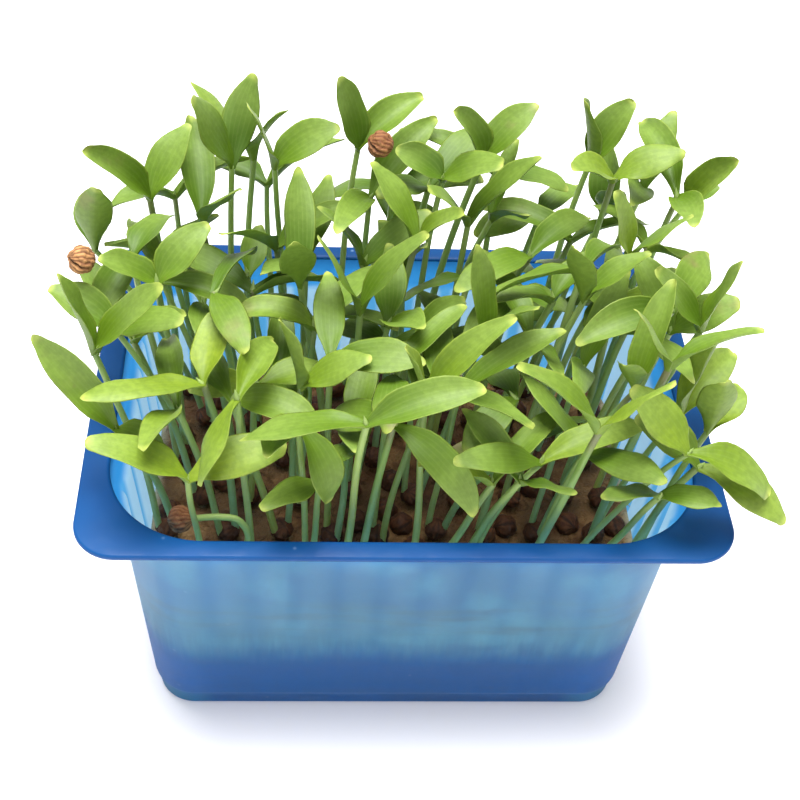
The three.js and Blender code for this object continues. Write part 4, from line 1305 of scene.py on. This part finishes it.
def make_husks(husks):
    """The spent husks on the pad, the husk that each pair grows from, and the raised ones."""
    tree = husk_tree()
    draw = seeded(SEED + 2)
    brown = husk_skin("spent_husk", linear(42, 20, 10), linear(128, 76, 44), linear(38, 18, 8))
    for name, spots, height, radius, nodes in (
        ("lying_husks", husks, PAD_TOP + HUSK_LIFT, HUSK_RADIUS, ["fibre_pad"]),
        ("sprouted_husks", feet, HUSK_HEIGHT, SPROUTED_HUSK_RADIUS, PAIR_NODES),
    ):
        centres = [(x, y, height) for x, y, _ in spots]
        turns = [(between(TUMBLE, draw()), between(TUMBLE, draw()), turn) for _, _, turn in spots]
        tones = [draw() for _ in spots]
        mesh = husks_mesh(name, centres, turns, radius, tones)
        piece = run_tree(name, mesh, tree, material=brown)
        settle_piece(piece, "fibre_and_husks", *nodes)
    light = husk_skin("raised_husk", linear(92, 50, 26), linear(206, 154, 100), linear(92, 42, 20))
    for index, (centre, along) in enumerate([*capped_tips(pairs), sprout_tip()]):
        lie = Vector(along).to_track_quat("Z", "Y").to_euler()
        mesh = husks_mesh("husk_cap", [centre], [tuple(lie)], HUSK_RADIUS, [RAISED_TONES[index]])
        name = f"raised_husk_skin_{index + 1}"
        piece = run_tree(name, mesh, tree, material=light, segments=96, rings=32, ridges=16,
                         ridge_depth=0.07, gape=0.26, dents=0.12, waver=0.6)
        settle_piece(piece, "dry_husk", f"raised_husk_{index + 1}")


# ---------- seedlings ----------

PAIR_NODES = [f"seedling_pair_{index + 1:02d}" for index in range(len(feet))]
LEAF_SHARES = [0, 0.05, 0.11, 0.18, 0.26, 0.34, 0.43, 0.52, 0.61, 0.7, 0.78, 0.85, 0.91, 0.955,
               0.98, 0.993, 0.999]
TIP_START = 0.93  # the tip is rounded from here on


def blade_half_width(leaf, share, shift, fullness):
    """Half the width of a leaf with its own outline and a rounded tip."""
    here = min(share, TIP_START)
    blade = math.sin(math.pi * here**shift) ** fullness * min(1, between(STALK_TAPER, here))
    left = min(1, (1 - share) / (1 - TIP_START))
    half = STALK_HALF_WIDTH * (1 - here) + leaf["width"] / 2 * blade
    return half * math.sqrt(max(0, left * (2 - left)))


def leaf_tree():
    """Sweeps a thin cupped section along each leaf's middle line, round at the stalk."""
    sizes = [("Stalk", "Float", 0.00045), ("Blade", "Float", 0.00015),
             ("Midrib", "Float", 0.00013), ("Edge wave", "Float", 0.00026),
             ("Base fold", "Float", 0.5)]
    tree, given, end = geometry_tree("seed_leaves", sizes)
    line = put(tree, "GeometryNodeMeshToCurve", {0: given["Geometry"]}).outputs[0]
    upward = stored(tree, "face_up", "FLOAT_VECTOR")
    facing = put(tree, "GeometryNodeSetCurveNormal", {"Curve": line, "Normal": upward}, mode="FREE")
    section = put(tree, "GeometryNodeCurvePrimitiveCircle", {
        "Resolution": 16, "Radius": 1}).outputs[0]
    through, across, _ = split(put(tree, "GeometryNodeInputPosition").outputs[0])
    section = store(section, "through_leaf", through)
    section = store(section, "across_leaf", across)
    section = reshape(section, join(y=across))
    blade = put(tree, "GeometryNodeCurveToMesh", {
        0: facing.outputs[0], 1: section, "Scale": stored(tree, "half_width"), "Fill Caps": True,
    }).outputs[0]
    along = stored(tree, "along_leaf")
    side = stored(tree, "across_leaf")
    thick = remap(along, 0.0, 0.3, given["Stalk"], given["Blade"])
    thick = times(thick, remap(along, 1.0, 0.9, 0.35, 1.0), stored(tree, "through_leaf"))
    from_middle = calc("ABSOLUTE", side)
    rib = times(remap(from_middle, 0.4, 0.0), given["Midrib"], remap(along, 0.95, 0.5))
    phase = calc("MULTIPLY_ADD", stored(tree, "leaf_tone"), 40, times(along, 11))
    wave = times(calc("SINE", phase), given["Edge wave"], side, from_middle)
    fold = times(remap(along, 0.5, 0.05), given["Base fold"])
    cup = times(calc("ADD", stored(tree, "cup"), fold), stored(tree, "half_width"), side, side)
    lift = calc("ADD", calc("SUBTRACT", thick, rib), calc("ADD", wave, cup))
    blade = move(blade, stretch(upward, lift))
    return close_tree(tree, end, blade, given["Material"])


def stem_tree():
    """Sweeps a round section along each stem's centre line."""
    tree, given, end = geometry_tree("stems", [("Sides", "Int", 8)])
    line = put(tree, "GeometryNodeMeshToCurve", {0: given["Geometry"]}).outputs[0]
    ring = put(tree, "GeometryNodeCurvePrimitiveCircle", {
        "Resolution": given["Sides"], "Radius": 1}).outputs[0]
    tube = put(tree, "GeometryNodeCurveToMesh", {
        0: line, 1: ring, "Scale": stored(tree, "half_width"), "Fill Caps": True}).outputs[0]
    return close_tree(tree, end, tube, given["Material"])


LEAF_SHIFT = (1.05, 1.22)  # where a leaf is widest
LEAF_FULLNESS = (0.54, 0.8)  # how full its outline is
LEAF_TWIST = (-17, 17)
LEAF_SICKLE = (-0.7, 0.7)  # how far a tip strays sideways
LEAF_CUPS = (-0.2, 0.6)
CUP_NARROWING = 0.35
# Painted light and shade in the leaf tone: leaves higher up and nearer the front are painted
# lighter, lower and further back ones darker, as if in shade.
TONE_MIDDLE = 72  # leaves above this height are lighter
TONE_REACH = 70
FRONT_LIGHTER = 0.5


def make_leaves():
    """All seed leaves, each with its own outline, twist and cup, and a tone that is partly random
    and partly painted light: lighter higher up and towards the front.
    """
    draw = seeded(SEED + 3)
    marks = {name: [] for name in ("half_width", "face_up", "along_leaf", "leaf_tone", "cup",
                                   "blemish")}
    lines = []
    for plant in plants:
        plant_tone = draw()
        for leaf in plant["leaves"]:
            # Painted light: the tone rises with height and towards the front.
            higher = (plant["top"][2] - TONE_MIDDLE) / TONE_REACH
            nearer = -FRONT_LIGHTER * plant["top"][1] / RIM_DEPTH
            tone = min(1, max(0, 0.5 * plant_tone + 0.4 * draw() + higher + nearer))
            shift, fullness = between(LEAF_SHIFT, draw()), between(LEAF_FULLNESS, draw())
            twist = math.radians(between(LEAF_TWIST, draw()))
            sickle, cup = between(LEAF_SICKLE, draw()), between(LEAF_CUPS, draw())
            blemish = draw()
            line = []
            for share in LEAF_SHARES:
                centre, _, across, upward = leaf_frame(plant, leaf, share)
                line.append(shifted(centre, across, sickle * share * share))
                turned = shifted(upward, across, math.tan(twist * share))
                size = math.hypot(*turned)
                half = blade_half_width(leaf, share, shift, fullness)
                half *= 1 - CUP_NARROWING * cup * cup
                point_marks = (half * MM, tuple(c / size for c in turned), float(share), tone,
                               cup, blemish)
                for values, value in zip(marks.values(), point_marks):
                    values.append(value)
            lines.append(line)
    mesh = lines_mesh("seed_leaves", lines, **marks)
    piece = run_tree("seed_leaves", mesh, leaf_tree(), material=leaf_skin())
    return settle_piece(piece, "seedling", *PAIR_NODES)


def bud_tree():
    """A small pointed bud on each point, turned and sized by the point."""
    tree, given, end = geometry_tree("joint_buds", [("Slimness", "Float", 0.42)])
    ball = put(tree, "GeometryNodeMeshUVSphere", {
        "Segments": 8, "Rings": 7, "Radius": 1}).outputs[0]
    x, y, z = split(put(tree, "GeometryNodeInputPosition").outputs[0])
    slim = times(remap(z, 1.0, -0.6, 0.25, 1.0), given["Slimness"])
    place = join(times(x, slim), times(y, slim), calc("ADD", z, 0.7))
    return copy_to_points(tree, given, end, reshape(store(ball, "up_stem", 0.8), place))


BUD_LENGTH = (0.7, 1.4)
BUD_TONE = 0.9


def make_buds(finish):
    """The first true leaves, still folded, between each pair of seed leaves."""
    draw = seeded(SEED + 5)
    centres, turns, sizes = [], [], []
    for plant in plants:
        first, second = (leaf_frame(plant, leaf, 0.2)[0] for leaf in plant["leaves"])
        middle = part_way(first, second, 0.5)
        lean = Vector((middle[0] - plant["top"][0], middle[1] - plant["top"][1], 1.5))
        centres.append(plant["top"])
        turns.append(tuple(lean.to_track_quat("Z", "Y").to_euler()))
        sizes.append(between(BUD_LENGTH, draw()) * MM)
    mesh = lines_mesh("joint_buds", [[centre] for centre in centres], lie=turns, size=sizes,
                      stem_tone=[BUD_TONE] * len(centres))
    piece = run_tree("joint_buds", mesh, bud_tree(), material=finish)
    return settle_piece(piece, "seedling", *PAIR_NODES)


STEM_POINTS = 14
STEM_WOBBLE = 0.36
STEM_SLIMNESS = (0.66, 0.82)
STEM_ENDS = ((0.35, 0.5), (0.6, 0.2))  # rise above the joint, and radius there


def make_stems(finish):
    """All stems, each a little wavy and closed by a small dome at its joint."""
    draw = seeded(SEED + 4)
    lines, half_widths, ups, tones = [], [], [], []
    for plant in plants:
        tone, phase, slim = draw(), 2 * math.pi * draw(), between(STEM_SLIMNESS, draw())
        line = []
        for i in range(STEM_POINTS + 1):
            share = i / STEM_POINTS
            x, y, z = stem_point(plant, share)
            wobble = STEM_WOBBLE * math.sin(math.pi * share) * math.sin(phase + 5 * share)
            line.append((x + wobble * math.cos(phase), y + wobble * math.sin(phase), z))
            radius = STEM_RADIUS + (STEM_TOP_RADIUS - STEM_RADIUS) * share
            half_widths.append(radius * slim * MM)
            ups.append(share)
        top = plant["top"]
        for rise, radius in STEM_ENDS:
            line.append((top[0], top[1], top[2] + rise))
            half_widths.append(radius * MM)
            ups.append(1.0)
        lines.append(line)
        tones += [tone] * len(line)
    mesh = lines_mesh("stems", lines, half_width=half_widths, up_stem=ups, stem_tone=tones)
    piece = run_tree("stems", mesh, stem_tree(), material=finish, sides=8)
    return settle_piece(piece, "seedling", *PAIR_NODES)


SPROUT_RADII = (0.62, 0.5)  # at the foot and at the tip
SPROUT_TONE = 0.8


def make_late_sprout(finish):
    """The curled stem of the late sprout."""
    steps = LATE_SPROUT_STEPS * 3
    line = [sprout_point(i / steps) for i in range(steps + 1)]
    radii = [between(SPROUT_RADII, i / steps) * MM for i in range(steps + 1)]
    ups = [0.4 + 0.5 * i / steps for i in range(steps + 1)]
    mesh = lines_mesh("late_sprout", [line], half_width=radii, up_stem=ups,
                      stem_tone=[SPROUT_TONE] * len(line))
    piece = run_tree("late_sprout_stem", mesh, stem_tree(), material=finish, sides=12)
    return settle_piece(piece, "late_sprout", "late_sprout")


# ---------- stage, light and camera ----------

FLOOR_HALF = 3.0  # metres
ROOM_LIGHT = 0.62  # the strength of the white room, which the camera sees at full strength
SOFTBOXES = (  # name, place, size and power
    ("overhead_softbox", (-0.05, 0.08, 0.95), 0.55, 20.5),
    ("front_fill", (0.1, -0.95, 0.55), 0.8, 3.4),
)
LIT_POINT = Vector((0, 0, 0.04))


def make_stage():
    """A plain pale floor that brightens into the white sweep behind it."""
    mesh = bpy.data.meshes.new("floor")
    corners = [(x * FLOOR_HALF, y * FLOOR_HALF, 0) for x, y in ((-1, -1), (1, -1), (1, 1), (-1, 1))]
    mesh.from_pydata(corners, [], [(0, 1, 2, 3)])
    floor = bpy.data.objects.new("floor", mesh)
    bpy.context.scene.collection.objects.link(floor)
    finish, shader, place = new_finish("floor_card")
    cloud = mottle(place, 8, 0.2, 0.8)
    colour = blend(cloud, (0.93, 0.93, 0.965, 1), (0.94, 0.94, 0.97, 1))
    away = put(tree_of(place), "ShaderNodeVectorMath", {0: place}, operation="LENGTH")
    sweep = remap(away.outputs["Value"], 0.16, 0.7, 0.0, 0.6)
    wire(shader, base_color=colour, roughness=0.8, specular_ior_level=0.1,
         emission_color=(1, 1, 1, 1), emission_strength=sweep)
    mesh.materials.append(finish)


def make_light():
    """A bright overhead softbox, a weak one in front, and a white room."""
    scene = bpy.context.scene
    world = bpy.data.worlds.new("studio")
    scene.world = world
    world.use_nodes = True
    tree = world.node_tree
    seen = put(tree, "ShaderNodeLightPath").outputs["Is Camera Ray"]
    colour, strength = tree.nodes["Background"].inputs[:2]
    plug(colour, (1, 1, 1, 1))
    plug(strength, remap(seen, 0, 1, ROOM_LIGHT, 1.0))
    for name, place, size, power in SOFTBOXES:
        data = bpy.data.lights.new(name, "AREA")
        data.shape = "SQUARE"
        data.size = size
        data.energy = power
        light = bpy.data.objects.new(name, data)
        light.location = place
        aim = LIT_POINT - Vector(place)
        light.rotation_euler = aim.to_track_quat("-Z", "Y").to_euler()
        scene.collection.objects.link(light)
    scene.view_settings.view_transform = "Standard"


# The camera fitted to the photograph. Angles are in degrees.
CAMERA_PLACE = (-15.961, -155.261, 210.665)
CAMERA_YAW = -4.12
CAMERA_PITCH = 46.01
CAMERA_ROLL = 3.68
FOCAL_PIXELS = 1366.87
PICTURE_PIXELS = 800
PRINCIPAL_POINT = (369.16, 400.73)
SENSOR_WIDTH = 36


def make_camera():
    """The camera of the photograph, with its lens shifted off the middle of the picture."""
    yaw, pitch, roll = (math.radians(a) for a in (CAMERA_YAW, CAMERA_PITCH, CAMERA_ROLL))
    back = Vector((math.sin(yaw) * math.cos(pitch), -math.cos(yaw) * math.cos(pitch),
                   math.sin(pitch)))
    level = (-back).cross(Vector((0, 0, 1))).normalized()
    upright = level.cross(-back)
    right = level * math.cos(roll) + upright * math.sin(roll)
    above = upright * math.cos(roll) - level * math.sin(roll)
    data = bpy.data.cameras.new("camera")
    data.sensor_width = SENSOR_WIDTH
    data.lens = FOCAL_PIXELS * SENSOR_WIDTH / PICTURE_PIXELS
    data.shift_x = (PICTURE_PIXELS / 2 - PRINCIPAL_POINT[0]) / PICTURE_PIXELS
    data.shift_y = (PRINCIPAL_POINT[1] - PICTURE_PIXELS / 2) / PICTURE_PIXELS
    data.clip_start = 0.01
    camera = bpy.data.objects.new("camera", data)
    turn = Matrix((right, above, back)).transposed()
    camera.matrix_world = Matrix.Translation(Vector(CAMERA_PLACE) * MM) @ turn.to_4x4()
    bpy.context.scene.collection.objects.link(camera)
    bpy.context.scene.camera = camera


make_camera()
make_light()
make_stage()
make_tray()
make_pad()
make_husks(lying_husks(feet, plants))
stem_finish = stem_skin()
make_stems(stem_finish)
make_late_sprout(stem_finish)
make_leaves()
make_buds(stem_finish)
